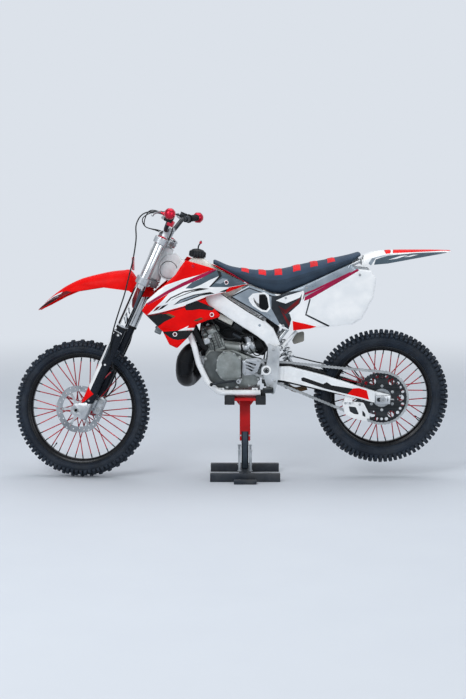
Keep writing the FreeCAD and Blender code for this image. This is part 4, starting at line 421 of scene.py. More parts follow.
class Shape:
    def __init__(self, place=None):
        self.mesh = bmesh.new()
        self.looks = []
        self.place = place or Matrix()

    def indexOf(self, look):
        if look not in self.looks:
            self.looks.append(look)
        return self.looks.index(look)

    def add(self, points, faces, look, edge, rounds=2, at=None):
        part = bmesh.new()
        made = [part.verts.new(p) for p in points]
        index = self.indexOf(look)
        for face in faces:
            part.faces.new([made[i] for i in face])
        bmesh.ops.recalc_face_normals(part, faces=part.faces)
        if edge:
            sharp = [e for e in part.edges if e.is_manifold and e.calc_face_angle(0) > sharpTurn]
            bmesh.ops.bevel(part, geom=sharp, offset=edge, segments=rounds, profile=0.5, affect="EDGES",
                            clamp_overlap=True)
        for face in part.faces:
            face.material_index = index
            face.smooth = True
        self.take(part, at)

    def take(self, part, at=None):
        part.transform(self.place @ at if at else self.place)
        part.to_mesh(scratch)
        part.free()
        self.mesh.from_mesh(scratch)

    def loft(self, rings, look, loop=False, edge=0.0, at=None, rounds=2):
        faces = woven(len(rings), len(rings[0]), loop)
        self.add([p for ring in rings for p in ring], faces, look, edge, rounds, at)

    def turned(self, profile, look, base=(0, 0, 0), run=(0, 0, 1), sides=40, loop=False, edge=0.0):
        # (along, radius) points turned about a line
        place = facing(base, run)
        rings = [[place @ Vector((x, y, along)) for x, y in circle(0, 0, max(r, 0.02), sides)]
                 for along, r in profile]
        self.loft(rings, look, loop, edge)

    def collar(self, low, high, inner, outer, *rest):
        self.turned([(low, inner), (low, outer), (high, outer), (high, inner)], *rest, loop=True)

    def tube(self, points, r, look, sides=12, steps=6, at=None):
        # r may be one radius or one for each point
        line = flow(points, steps) if steps > 1 else [Vector(p) for p in points]
        if isinstance(r, list):
            radii = [v[0] for v in flow([(v, 0, 0) for v in r], steps)]
        else:
            radii = [r] * len(line)
        rings = []
        for i, spot in enumerate(line):
            run = (line[min(i + 1, len(line) - 1)] - line[max(i - 1, 0)]).normalized()
            side = side if i else run.orthogonal().normalized()
            side = (side - run * side.dot(run)).normalized()
            other = run.cross(side)
            turns = [2 * pi * k / sides for k in range(sides)]
            rings.append([spot + (side * cos(t) * radii[i] + other * sin(t) * radii[i]) for t in turns])
        self.loft(rings, look, at=at)

    def plate(self, outline, low, high, look, holes=(), edge=0.8, at=None, rounds=2):
        # an outline of (x, z) or (x, z, r) points, between two places in y
        low, high = sorted((low, high))
        loops = [rounded(loop) for loop in (outline, *holes)]
        flatPoints = [p for loop in loops for p in loop]
        count = len(flatPoints)
        fill = tessellate_polygon([[Vector((x, z, 0)) for x, z in loop] for loop in loops])
        points = [(x, low, z) for x, z in flatPoints] + [(x, high, z) for x, z in flatPoints]
        faces = [tuple(f) for f in fill] + [tuple(i + count for i in f) for f in fill]
        first = 0
        for loop in loops:
            for k in range(len(loop)):
                a, b = first + k, first + (k + 1) % len(loop)
                faces.append((a, b, b + count, a + count))
            first += len(loop)
        self.add(points, faces, look, edge, rounds, at)

    def box(self, middle, size, look, edge, turn=None):
        x, y, z = (s / 2 for s in size)
        corners = [Vector((sx * x, sy * y, sz * z)) for sz in (-1, 1) for sy in (-1, 1) for sx in (-1, 1)]
        if turn:
            corners = [turn @ c for c in corners]
        faces = [(0, 1, 3, 2), (4, 5, 7, 6), (0, 1, 5, 4), (2, 3, 7, 6), (0, 2, 6, 4), (1, 3, 7, 5)]
        self.add([Vector(middle) + c for c in corners], faces, look, edge)

    def rod(self, start, end, r, look, sides, edge=0.0):
        run = Vector(end) - Vector(start)
        self.turned([(0, r), (run.length, r)], look, start, run, sides, edge=edge)

    def pin(self, spot, half, r, look, sides):
        # a rod across the bike, half of it on each side of a place
        reach = Vector((0, half, 0))
        self.rod(Vector(spot) - reach, Vector(spot) + reach, r, look, sides)

    def bolt(self, start, run, r, look="boltSteel", head=None):
        # a flanged head with its socket
        head = head or r * 1.1
        profile = [(0, r * 1.5), (head * 0.25, r * 1.5), (head * 0.3, r), (head * 0.92, r), (head, r * 0.85),
                   (head, r * 0.55), (head * 0.45, r * 0.5), (head * 0.45, 0)]
        self.turned(profile, look, start, run, 12)

    def skin(self, outline, surface, look, paints=(), holes=(), faces=(0, -1, 0), *, step, thick, roll):
        # a thin moulded panel: surface(a, b, edge) gives a point, paints are (loop, look) laid in order,
        # and faces is the way that its shown side looks
        outline, *holes = [rounded(loop) for loop in (outline, *holes)]
        loops = [outline, *holes] + [loop for loop, name in paints]
        points, edges = [], []
        for loop in loops:
            first = len(points)
            points += [Vector(p) for p in loop]
            edges += [(first + k, first + (k + 1) % len(loop)) for k in range(len(loop))]
        if roll:
            for reach in (roll * 0.35, roll):
                points += [Vector(p) for p in inset(outline, reach)]
                for hole in holes:
                    points += [Vector(p) for p in inset(hole, -reach)]
        low = [min(p[i] for p in outline) for i in (0, 1)]
        high = [max(p[i] for p in outline) for i in (0, 1)]
        for i in range(int((high[0] - low[0]) / step) + 1):
            for k in range(int((high[1] - low[1]) / step) + 1):
                spot = (low[0] + (i + 0.5 * (k % 2)) * step, low[1] + k * step)
                if inside(spot, outline) and edgeDistance(spot, outline) > max(roll, step * 0.45) * 1.15:
                    if not any(inside(spot, hole) or edgeDistance(spot, hole) < step * 0.4 for hole in holes):
                        points.append(Vector(spot))
        spots, edges, cells = delaunay_2d_cdt(points, edges, [], 0, 0.01)[:3]
        part = bmesh.new()
        made = []
        for spot in spots:
            near = min(edgeDistance(spot, loop) for loop in (outline, *holes))
            made.append(part.verts.new(surface(spot[0], spot[1], near)))
        base = self.indexOf(look)
        kept = []
        for face in cells:
            middle = sum((spots[i] for i in face), Vector((0, 0))) / len(face)
            if not inside(middle, outline) or any(inside(middle, hole) for hole in holes):
                continue
            try:
                flat = part.faces.new([made[i] for i in face])
            except ValueError:
                continue
            flat.material_index = base
            for loop, name in paints:
                if inside(middle, loop):
                    flat.material_index = self.indexOf(name)
            kept.append(flat)
        loose = [v for v in part.verts if not v.link_faces]
        bmesh.ops.delete(part, geom=loose, context="VERTS")
        bmesh.ops.recalc_face_normals(part, faces=part.faces)
        part.normal_update()
        if sum((f.normal * f.calc_area() for f in kept), Vector()).dot(Vector(faces)) < 0:
            bmesh.ops.reverse_faces(part, faces=part.faces)
        if thick:
            part.normal_update()
            rims = [e.link_loops[0] for e in part.edges if len(e.link_faces) == 1]
            twins = {v: part.verts.new(v.co - v.normal * thick) for v in list(part.verts)}
            for face in kept:
                part.faces.new([twins[v] for v in reversed(face.verts)]).material_index = base
            for corner in rims:
                a, b = corner.vert, corner.link_loop_next.vert
                part.faces.new((b, a, twins[a], twins[b])).material_index = base
        for face in part.faces:
            face.smooth = True
        self.take(part)

    def make(self, node, slot=None, body="root", sharp=38):
        # a piece without a slot takes no node's place
        mesh = bpy.data.meshes.new(node)
        self.mesh.transform(Matrix.Scale(unit, 4))
        self.mesh.to_mesh(mesh)
        self.mesh.free()
        for look in self.looks:
            mesh.materials.append(makeFinish(look))
        mesh.set_sharp_from_angle(angle=radians(sharp))
        made = addObject(camel(node), mesh)
        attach(made, body)
        if slot:
            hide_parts(node)
        return made


# Places on the bike, read from the frame's joints

joints = {joint["name"]: joint for joint in frame["joints"]}
steerJoint = joints["steering"]
axisPoint = Vector(steerJoint["pos_m"]) / unit
axisUp = Vector(steerJoint["axis"]).normalized()
rake = atan2(axisUp.x, axisUp.z)
steerTurn = radians(-10)
steered = (Matrix.Translation(axisPoint) @ Matrix.Rotation(steerTurn, 4, axisUp) @ Matrix.Translation(-axisPoint))
forkPlace = (Matrix.Translation(axisPoint) @ Matrix.Rotation(steerTurn, 4, axisUp) @ Matrix.Rotation(rake, 4, "Y"))
frontAxle = Vector((-814, 0, 346))
rearAxle = Vector((678, 0, 409))
frontWheelPlace = steered @ Matrix.Translation(frontAxle)
rearWheelPlace = Matrix.Translation(rearAxle)


# Wheels: each is drawn about its own axle, which runs along Y

wheels = {
    "front": {
        "place": frontWheelPlace, "body": "front_wheel", "carcass": (296, 38, 35),
        "walls": [(37.6, 297), (35.5, 290), (31, 283.5), (26, 280), (22, 278.5), (21.5, 269)],
        "pitches": 44, "tall": 13.6, "turn": 6,
        # place in the pitch, lean round the carcass, length and width of each pair of knobs
        "rows": [(0.0, 12, 16, 15), (0.0, 57, 14, 15), (0.5, 35, 16, 14), (0.5, 57, 15, 15)],
        "rim": {"half": 25, "bead": 268, "well": 254},
        "flange": 33, "flangeAt": 32, "valve": (-126.5, 223), "lock": 75.9,
        "hub": [(-70, 10.4), (-70, 17), (-66, 19), (-63.6, 22), (-60.5, 22), (-60.5, 38), (-55.6, 38), (-52, 27),
                (-47, 23), (-36, 22), (-35.2, 31), (-34, 33), (-30, 33), (-28.8, 31), (-27, 23), (-14, 19.5),
                (14, 19.5), (27, 23), (28.8, 31), (30, 33), (34, 33), (35.2, 31), (36, 22), (52, 20.5), (58, 18),
                (70, 17), (70, 10.4)],
    },
    "rear": {
        "place": rearWheelPlace, "body": "rear_wheel", "carcass": (283, 45, 34),
        "walls": [(44.4, 283), (42.5, 275), (38, 266), (32, 258), (26, 254), (25.6, 245)],
        "pitches": 40, "tall": 17.8, "turn": 2,
        "rows": [(0.0, 0, 17, 27), (0.0, 32, 17, 17), (0.0, 56, 14, 16), (0.5, 15, 17, 15), (0.5, 43, 16, 15),
                 (0.5, 60, 15, 13)],
        "rim": {"half": 29, "bead": 243, "well": 230},
        "flange": 46, "flangeAt": 34, "valve": (-30.5, 200), "lock": 149,
        "hub": [(-77, 12.4), (-77, 22), (-72, 26), (-63.3, 30), (-63.2, 51), (-58.2, 51), (-55, 36), (-38, 31),
                (-37, 43), (-35.5, 46), (-32.5, 46), (-31, 43), (-29, 33), (-12, 27), (12, 27), (29, 33), (31, 43),
                (32.5, 46), (35.5, 46), (37, 43), (38, 31), (56, 31), (59.5, 38), (64.4, 38), (64.5, 30), (72, 27),
                (77, 22), (77, 12.4)],
    },
}
spokeCount, spokeLean, spokeR = 36, 60, 2.7


def around(angle, r, y=0.0):
    x, z = polar(radians(angle), r)
    return Vector((x, y, z))


def makeTyre(name, wheel):
    shape = Shape(wheel["place"])
    centre, lateral, radial = wheel["carcass"]
    crown = [(lateral * sin(radians(a)), centre + radial * cos(radians(a))) for a in range(-75, 76, 10)]
    seat = wheel["walls"]
    line = [(-y, r) for y, r in reversed(seat)] + crown + seat
    shape.turned(line, "tyreRubber", run=1, sides=150, loop=True)
    for side in (-1, 1):
        for y, r, wide in ((*seat[1], 1.8), (seat[3][0], seat[3][1] + 1, 1.4)):
            low, high = side * (y - 1), side * (y + 1)
            shape.turned([(low, r - wide), (high, r - wide / 2), (high, r + wide / 2), (low, r + wide)], "tyreRubber",
                         run=1, sides=120, loop=True)
    step = 360 / wheel["pitches"]
    for pitch in range(wheel["pitches"]):
        for shift, lean, long, wide in wheel["rows"]:
            for side in ((-1, 1) if lean else (1,)):
                addKnob(shape, wheel, (pitch + shift) * step, side * lean, long, wide)
    shape.make(name, "tyre", wheel["body"])


def addKnob(shape, wheel, angle, lean, long, wide):
    centre, lateral, radial = wheel["carcass"]
    bend = radians(lean)
    out = around(angle, 1)
    foot = out * (centre + radial * cos(bend)) + Vector((0, lateral * sin(bend), 0))
    up = (out * (cos(bend) / radial) + Vector((0, sin(bend) / lateral, 0))).normalized()
    run = Vector((-out.z, 0, out.x))
    side = up.cross(run)
    reach = wheel["tall"] - abs(lean) * 0.045
    rings = []
    for high, spread in ((-2.5, 1.14), (reach * 0.55, 0.98), (reach, 0.9)):
        rings.append([foot + up * high + run * (a * long / 2 * spread) + side * (b * wide / 2 * spread)
                      for a, b in ((-1, -1), (1, -1), (1, 1), (-1, 1))])
    shape.loft(rings, "tyreRubber", edge=1.5, rounds=1)


def makeRim(name, wheel):
    shape = Shape(wheel["place"])
    rim = wheel["rim"]
    half, bead, well = rim["half"], rim["bead"], rim["well"]
    under = [(half, bead + 9), (half, bead + 4.5), (half - 1.2, bead + 3), (half - 2.6, bead - 1),
             (half - 3.4, bead - 3.4), (half * 0.6, well + 2.6), (half * 0.42, well + 0.4), (half * 0.3, well)]
    over = [(half * 0.34, well + 3), (half * 0.62, well + 6), (half - 4, bead - 0.6), (half - 2.8, bead + 7.6),
            (half - 1.6, bead + 9)]
    line = ([(-y, r) for y, r in under] + [(y, r) for y, r in reversed(under)]
            + [(y, r) for y, r in reversed(over)] + [(-y, r) for y, r in over])
    shape.turned(line, "rimBlack", run=1, sides=144, loop=True)
    angle, reach = wheel["valve"]
    stem = around(angle, 1)
    shape.rod(stem * reach, stem * (well + 2), 2.1, "cableBlack", 10)
    shape.rod(stem * (reach - 2), stem * (reach + 8), 3.4, "blackPlastic", 10)
    shape.rod(stem * (well - 3.5), stem * (well + 1), 5.5, "boltSteel", 6)
    lock = around(wheel["lock"], 1)
    shape.rod(lock * (well - 14), lock * (well + 1), 3.0, "boltSteel", 10)
    shape.rod(lock * (well - 7), lock * (well - 1), 6.5, "boltSteel", 6)
    shape.make(name, "rim", wheel["body"])


def makeHub(name, wheel):
    shape = Shape(wheel["place"])
    shape.turned(wheel["hub"], "hubAlloy", run=1, sides=48, loop=True)
    quarter = spokeCount // 4
    step = 360 / quarter
    well = wheel["rim"]["well"]
    for turn in range(quarter):
        for side in (-1, 1):
            for lean in (-1, 1):
                start = wheel["turn"] + turn * step + side * step / 8 + lean * step / 4
                low = around(start, wheel["flange"] * 0.86, side * wheel["flangeAt"] + lean * 3)
                high = around(start + lean * spokeLean, well - 0.8, side * 4)
                shape.rod(low, high, spokeR, "spokeRed", 8)
                run = (high - low).normalized()
                shape.rod(high - run * 19, high, 3.1, "darkSteel", 6)
                shape.rod(low - run * 2.5, low + run * 1.0, 2.6, "boltSteel", 8)
    shape.make(name, "hub", wheel["body"])


def makeDisc(name, wheel, y, r, inner, carrier, bore):
    shape = Shape(wheel["place"])
    holes = [circle(0, 0, inner, 72)]
    for k in range(36):
        spot = around(k * 10 + (k % 3) * 2.2, inner + (r - inner) * (0.22, 0.5, 0.78)[k % 3])
        holes.append(circle(spot.x, spot.z, 4.0, 10))
    edge = []
    for k in range(144):
        edge.append(polar(k * pi / 72, r - 1.6 + 1.6 * cos(k * pi / 12)))
    shape.plate(edge, y - 1.5, y + 1.5, "discSteel", holes, edge=0.3, rounds=1)
    star = []
    for k in range(6):
        for lean, reach in ((-22, carrier), (-7, carrier + 8), (-4.5, inner - 10), (-4.2, inner + 4),
                            (4.2, inner + 4), (4.5, inner - 10), (7, carrier + 8), (22, carrier)):
            star.append(polar(radians(k * 60 + lean), reach))
    shape.plate(star, y - 1.5, y + 1.5, "clampAlloy", [circle(0, 0, bore, 32)], edge=0.4, rounds=1)
    outward = 1 if y > 0 else -1
    for k in range(6):
        spot = around(k * 60, inner - 3, y + outward * 1.4)
        shape.turned([(0, 6.5), (1.6, 6.5), (2.2, 5.6), (2.2, 3.2), (1.2, 3), (1.2, 0)], "boltSteel", spot,
                     outward, 16)
        shape.bolt(around(k * 60 + 30, carrier - 7, y + outward * 1.4), outward, 3.4)
    shape.make(name, "disc", wheel["body"], sharp=30)


def sprocketLine(teeth, pitchR, tip, root):
    line = []
    for k in range(teeth):
        for part, r in ((0.0, pitchR - root), (0.16, pitchR - root * 0.75), (0.3, pitchR), (0.42, pitchR + tip * 0.8),
                        (0.5, pitchR + tip), (0.58, pitchR + tip * 0.8), (0.7, pitchR), (0.84, pitchR - root * 0.75)):
            line.append(polar(2 * pi * (k + part) / teeth, r))
    return line


def makeSprocket(wheel):
    shape = Shape(wheel["place"])
    holes = [circle(0, 0, 46.3, 40)]
    for k in range(6):
        spot = around(k * 60, 93)
        holes.append(circle(spot.x, spot.z, 17, 20))
        for lean in (-12.75, 12.75):
            side = around(k * 60 + 30 + lean, 108)
            holes.append(circle(side.x, side.z, 8.5, 12))
        outer = around(k * 60 + 30, 106)
        holes.append(circle(outer.x, outer.z, 7, 12))
    shape.plate(sprocketLine(51, 128.9, 3.6, 5.2), -68.8, -63.2, "sprocketDark", holes, edge=0.35, rounds=1)
    for k in range(6):
        shape.bolt(around(k * 60 + 30, 60, -68.8), -1, 5)
    shape.make("rear_sprocket", "chain_steel", wheel["body"], sharp=30)


for end, wheel in wheels.items():
    makeTyre(end + "_tyre", wheel)
    makeRim(end + "_rim", wheel)
    makeHub(end + "_hub", wheel)
makeDisc("front_disc", wheels["front"], -62, 120, 88, 38, 22.3)
makeDisc("rear_disc", wheels["rear"], 66, 110, 78, 38, 30.3)
makeSprocket(wheels["rear"])
print("wheels")


# Fork, clamps and bars, in the fork's own frame: Z runs up the steering axis and -X is forward

fork = {"lead": 26, "spread": 105, "axleLead": 61.0, "axleDrop": -906.9}
clamps = [(12, 30), (-206, 36)]  # foot and thickness of the upper and the lower one
flatways = spin(90, "X")  # turns a plate's (x, z) outline into (x, y)
bars = {
    "line": mirrored([(6, -352, 178), (-22.8, -160, 151.7), (-30, -99, 84)]),
    "r": 11, "bend": 45,
}


def curved(r, side):
    # a surface round a fork leg: the first number runs round it in mm from the outside, the second runs up it
    def at(a, b, edge):
        return (r * sin(a / r) - fork["lead"], side * (fork["spread"] + r * cos(a / r)), b)
    return at


legPaint = [
    ([(-13, -432), (16, -432), (16, -300), (-2, -226), (-16, -226)], "whitePlastic"),
    ([(-10, -226), (10, -226), (16, -330), (6, -322), (-7, -292)], "darkRedFilm"),
    ([(10, -226), (27, -226), (27, -318), (16, -330)], "slateFilm"),
    ([(-10.5, -432), (-8.5, -432), (-8.5, -300), (-10.5, -300)], "greyFilm"),
    ([(26, -428), (28.5, -428), (28.5, -240), (26, -240)], "greyFilm"),
    ([(16, -432), (16, -408), (-7, -374), (-3, -362), (16, -386)], "blackFilm"),
    *[([(-7, z), (-5, z + 6), (13, z - 18), (11, z - 26)], "blackFilm") for z in (-338, -364, -390)],
]
guardPaint = [
    ([(-48, -500), (-24, -506), (-18, -640), (-10, -646), (-12, -846), (-56, -850)], "whitePlastic"),
    ([(-17, -520), (-15, -520), (-12, -620), (-14, -620)], "greyFilm"),
    ([(-62, -764), (12, -796), (-26, -870), (-62, -870)], "redPlastic"),
    ([(-54, -464), (-40, -464), (-34, -492), (-44, -492)], "whitePlastic"),
    ([(-34, -464), (15, -464), (20, -474), (17, -470), (-34, -467.5)], "whitePlastic"),
]


def makeForkUpper():
    shape = Shape(forkPlace)
    for side in (-1, 1):
        base = (-fork["lead"], side * fork["spread"], 0)
        shape.turned([(-437, 24), (-437, 26.6), (-436, 27), (43, 27), (44.5, 26), (44.5, 20)], "forkSilver", base,
                     sides=48)
        shape.turned([(-449, 24.2), (-449, 28.2), (-447.5, 29), (-439, 29), (-437, 27.4), (-436, 24.2)], "softRubber",
                     base, sides=48, loop=True)
        shape.turned([(44, 24), (46.5, 24), (47, 23), (47, 14), (50, 13), (50, 5), (47, 4), (47, 0)], "anodRed", base,
                     sides=36)
        shape.skin([(-40, -432), (42, -432), (42, -226), (-40, -226)], curved(27.4, side), "blackFilm", legPaint,
                   step=7, thick=0.5, roll=0, faces=(0, side, 0))
    shape.make("upper_fork_tubes", "fork_metal", "steering")


def makeForkLower():
    shape = Shape(forkPlace)
    leg, lead, drop = fork["lead"], fork["axleLead"], fork["axleDrop"]
    outline = [(-lead - 26, drop - 8, 16), (-lead - 22, drop - 26, 14), (4 - leg, -936, 8), (20 - leg, -925, 10),
               (22 - leg, -868, 10), (-12 - leg, -856, 10), (-lead - 24, drop + 24, 16)]
    for side in (-1, 1):
        base = (-leg, side * fork["spread"], 0)
        shape.turned([(-860, 23.5), (-450, 23.5)], "guardBlack", base, sides=40)
        shape.turned([(-938, 20), (-936, 25), (-930, 28), (-868, 29), (-862, 28), (-850, 25.5), (-846, 23)],
                     "clampAlloy", base, sides=40)
        shape.plate(outline, side * 78, side * 133, "clampAlloy", [circle(-lead, drop, 10.4, 28)], edge=3)
        for out in (-16, 16):
            shape.bolt((-lead - 18, side * (fork["spread"] + out), drop - 25), (0, 0, -1), 3.6)
        shape.turned([(0, 13), (2, 13), (3.5, 12), (3.5, 8.5), (0, 8)], "boltSteel",
                     (-lead, side * 133, drop), side, 6, loop=True)
    shape.make("lower_fork_tubes", "fork_metal", "steering")


def makeClamps():
    shape = Shape(forkPlace)
    lead, spread = fork["lead"], fork["spread"]
    web = mirrored([(-58, -40, 24), (-50, -78, 10), (-46, -96, 6), (-5, -96, 6), (4, -70, 20), (24, -28, 18),
                    (30, 0, 20)])
    for low, thick in clamps:
        for side in (-1, 1):
            shape.turned([(0, 27.3), (0, 35), (2, 37), (thick - 2, 37), (thick, 35), (thick, 27.3)], "clampAlloy",
                         (-lead, side * spread, low), sides=48, loop=True)
            for up in (0.26, 0.74):
                inner, outer = [(34 - lead, side * (spread + out), low + up * thick) for out in (-24, 6)]
                shape.rod(inner, outer, 6.5, "clampAlloy", 16)
                shape.bolt(outer, side, 3.6)
        shape.plate(web, low + 1, low + thick - 1, "clampAlloy", edge=3, at=flatways)
        shape.turned([(0, 0), (0, 30), (thick - 2, 30), (thick, 28), (thick, 0)], "clampAlloy", (0, 0, low), sides=40)
    shape.rod((0, 0, -170), (0, 0, 12), 15, "boltSteel", 32)
    shape.turned([(0, 21), (7, 21), (9, 19), (9, 11), (5, 10), (5, 0)], "boltSteel", (0, 0, 42), sides=6)
    corners, post = [(-17, -17), (17, -17), (17, 17), (-17, 17)], [(42, 1), (50, 0.86), (72, 0.94), (84, 1)]
    cap = [(-47, 84, 2), (-13, 84, 2), (-13, 92, 8), (-22, 102, 6), (-38, 102, 6), (-47, 92, 8)]
    for y in (-44, 44):
        shape.loft([[(x * s - 30, y + b * s, z) for x, b in corners] for z, s in post], "clampAlloy", edge=2.5)
        shape.plate(cap, y - 17, y + 17, "clampAlloy", edge=2)
        for x in (-42, -18):
            for out in (-10, 10):
                shape.bolt((x, y + out, 93), (0, 0, 1), 3.0)
    shape.make("triple_clamps", "clamp_metal", "steering")


barStart, barEnd = Vector(bars["line"][4]), Vector(bars["line"][5])
barRun = (barEnd - barStart).normalized()


def onBar(out, side):
    spot = barStart + barRun * ((out - barStart.y) / barRun.y)
    return Vector((spot.x, side * spot.y, spot.z))


def barWay(side):
    return Vector((barRun.x, side * barRun.y, barRun.z))


def makeBars():
    shape = Shape(forkPlace)
    shape.tube(eased(bars["line"], bars["bend"]), bars["r"], "standBlack", 20, 1)
    for side in (-1, 1):
        shape.rod(onBar(164, side), onBar(176, side), 12.5, "blackPlastic", 20, 1)
    shape.make("handlebar", "black_metal", "steering")
    grips, ends = Shape(forkPlace), Shape(forkPlace)
    profile = [(0, 11.2), (0, 22), (3, 22.6), (5, 21), (6, 17.2)]
    for a in range(8, 89, 10):
        profile += [(a, 15.4), (a + 1, 16.9), (a + 7, 16.9), (a + 8, 15.4)]
    profile += [(101, 17), (110, 17), (111.6, 15), (111.6, 11.2)]
    knob = [(0.3, 0), (0.3, 15), (2, 17.5), (8, 23.5), (14, 25.8), (21, 27), (30, 26.4), (39, 23.6), (45, 19),
            (49, 13), (51, 8), (51.5, 0)]
    for side in (-1, 1):
        tip, way = onBar(352, side), barWay(side)
        grips.turned(profile, "softRubber", onBar(240, side), way, 36, loop=True)
        ends.turned(knob, "anodRed", tip, way, 40)
        for k in range(8):
            ends.tube([(24.6, 0, 9), (27.2, 0, 20), (26.8, 0, 30), (22.8, 0, 41)], 1.3, "anodRed", 6, 3,
                      at=facing(tip, way) @ spin(45 * k, "Z"))
    grips.make("grips", "black_rubber", "steering")
    ends.make("bar_ends", "red_plastic", "steering")


def makeLevers():
    shape = Shape(forkPlace)
    for side in (-1, 1):
        look = "anodRed" if side < 0 else "darkSteel"
        root = onBar(217, side)
        shape.turned([(0, 11.2), (0, 15), (1.5, 17), (32, 17), (33.5, 15), (33.5, 11.2)], look, onBar(200, side),
                     barWay(side), 32, loop=True)
        shape.box(root + Vector((-24, 0, 0)), (26, 24, 16), look, 3)
        shape.box(root + Vector((-42, side * 2, 0)), (34, 15, 9), look, 2.5)
        for up in (-1, 1):
            shape.bolt(root + Vector((-18, side * up * 8, 8)), (0, 0, 1), 3)
        shape.bolt(root + Vector((-50, side * 3, 4)), (0, 0, 1), 4.2)
        blade = [root + Vector(p) for p in ((-50, side * 2, 0), (-58, side * 30, -5), (-61, side * 70, -12),
                                            (-57, side * 108, -18), (-54, side * 132, -21))]
        shape.tube(blade, [5.5, 5.2, 4.8, 4.4, 4.0], "boltSteel")
        shape.turned([(-6, 1), (-5, 4), (-2, 5.9), (2, 5.9), (5, 4), (6, 1)], "boltSteel",
                     root + Vector((-54, side * 134, -21)), 1, 16)
    tank = onBar(217, 1) + Vector((-24, 0, 6))
    shape.box(tank + Vector((0, 0, 4)), (28, 34, 18), "darkSteel", 4)
    shape.box(tank + Vector((0, 0, 14)), (30, 37, 4), "blackPlastic", 1.5)
    for x, y in ((-9, -12), (9, 12)):
        shape.bolt(tank + Vector((x, y, 15.5)), (0, 0, 1), 2.2)
    switch = onBar(182, -1)
    shape.box(switch + Vector((-2, 0, -6)), (44, 26, 40), "blackPlastic", 6)
    shape.box(switch + Vector((14, 10, -26)), (30, 40, 30), "anodRed", 5)
    shape.rod(switch + Vector((-30, -10, -16)), switch + Vector((-30, 34, -16)), 8, "boltSteel", 18)
    adjuster = onBar(196, -1) + Vector((-34, 6, 0))
    shape.turned([(0, 4), (0, 8), (3, 9), (12, 9), (14, 6), (24, 5), (26, 3)], "anodRed", adjuster, (-0.1, 1, 0.1),
                 14)
    shape.make("levers", "clamp_metal", "steering")


def makeGuards():
    shape = Shape(forkPlace)
    outline = [(-90, -462, 8), (16, -462, 10), (34, -520, 20), (34, -838, 16), (10, -852, 12), (-12, -846, 20),
               (-40, -872, 8), (-92, -872, 8), (-94, -700, 10), (-94, -480, 10)]
    r = 32.2
    for side in (-1, 1):
        shape.skin(outline, curved(r, side), "guardBlack", guardPaint, step=12, thick=2.6, roll=2.5,
                   faces=(0, side, 0))
        for a, z in ((4, -480), (-28, -480), (4, -640), (4, -836)):
            run = Vector((sin(a / r), side * cos(a / r), 0))
            spot = Vector((-fork["lead"], side * fork["spread"], z)) + run * 31.5
            shape.bolt(spot, run, 3.4, "boltSteel" if z == -836 else "whitePlastic")
    shape.make("fork_guards", "black_metal", "steering")


def makeNumberPlate():
    shape = Shape(forkPlace)
    outline = [(-41, -142, 10), (0, -150, 30), (41, -142, 10), (102, -25, 26), (86, 62, 24), (0, 70, 60),
               (-86, 62, 24), (-102, -25, 26)]
    lower = [(-90, -160), (90, -160), (90, -96), (-90, -96)]

    def surface(a, b, edge):
        roll = max(0.0, 5 - edge) ** 2 / 5 * 0.5
        return (-67.2 + 9 * (a / 102) ** 2 + roll + 3 * ((b + 40) / 110) ** 2, a, b)

    shape.skin(outline, surface, "whitePlastic", [(lower, "blackFilm")], step=16, thick=3, roll=5, faces=(-1, 0, 0))
    shape.box((-61, 0, 27), (9, 50, 22), "blackPlastic", 3)
    for y in (-62, 62):
        shape.rod((-61, y, 20), (-42, y, 20), 6, "softRubber", 14)
    shape.bolt((-66, 0, 22), (-1, 0, 0), 3.2)
    shape.make("number_plate", "white_plastic", "steering")


fenderPaint = [
    ([(-1040, 95), (-1040, 34), (-985, 44), (-880, 78), (-838, 95)], "darkRedFilm"),
    ([(-1030, 44), (-1014, 36), (-945, 56), (-900, 72), (-912, 76), (-950, 66)], "whitePlastic"),
    ([(-1018, 52), (-1004, 50), (-918, 80), (-926, 84)], "greyFilm"),
    ([(-1038, 95), (-1036, 66), (-960, 82), (-880, 95)], "blackFilm"),
]
fenderLine = [
    # x, crown, half width, side drop
    (-1038, 838, 27, 8), (-1008, 866, 40, 18), (-979, 892, 50, 26), (-930, 931, 60, 37), (-884, 962, 68, 46),
    (-820, 992, 75, 52), (-772, 1007, 80, 57), (-671, 1030, 80, 76), (-600, 1038, 76, 90), (-570, 1038, 72, 94),
    (-526, 983, 62, 88), (-446, 938, 46, 58),
]


def bothSides(paints):
    return [([(x, side * b) for x, b in loop], look) for side in (-1, 1) for loop, look in paints]


halfSheet = 90.0


def moulded(line, crease, raised):
    # a fender's skin: x runs along it and b runs across it, from -halfSheet to halfSheet
    def at(x, b, edge):
        crown, half, drop = stationsAt(line, x)
        turn = max(-1.0, min(1.0, b / halfSheet))
        across = sin(turn * pi / 2)
        fall = 1 - cos(turn * pi / 2)
        fall = fall * (1 - crease) + crease * abs(turn) ** 4
        ridge = raised * (max(0.0, 1 - abs(abs(turn) - 0.42) / 0.09) ** 1.5)
        lip = max(0.0, 3.5 - edge) * 0.5
        return (x, half * across * (1 - 0.004 * lip), crown - drop * fall + ridge - lip)
    return at


def makeFrontFender():
    shape = Shape(steered)
    outline = mirrored([(-1036, -70, 26), (-990, -90, 30), (-700, -90, 0), (-560, -90, 30), (-520, -84, 20),
                        (-446, -70, 26)])
    shape.skin(outline, moulded(fenderLine, 0.45, 2.2), "redPlastic", bothSides(fenderPaint), step=13, thick=3.2,
               roll=4, faces=(0, 0, 1))
    shape.place = forkPlace
    shape.box((-22, 0, -213), (70, 62, 13), "redPlastic", 4)
    for x in (-40, -4):
        for y in (-20, 20):
            shape.bolt((x, y, -220), (0, 0, -1), 3.2)
    shape.make("front_fender", "red_plastic", "steering")


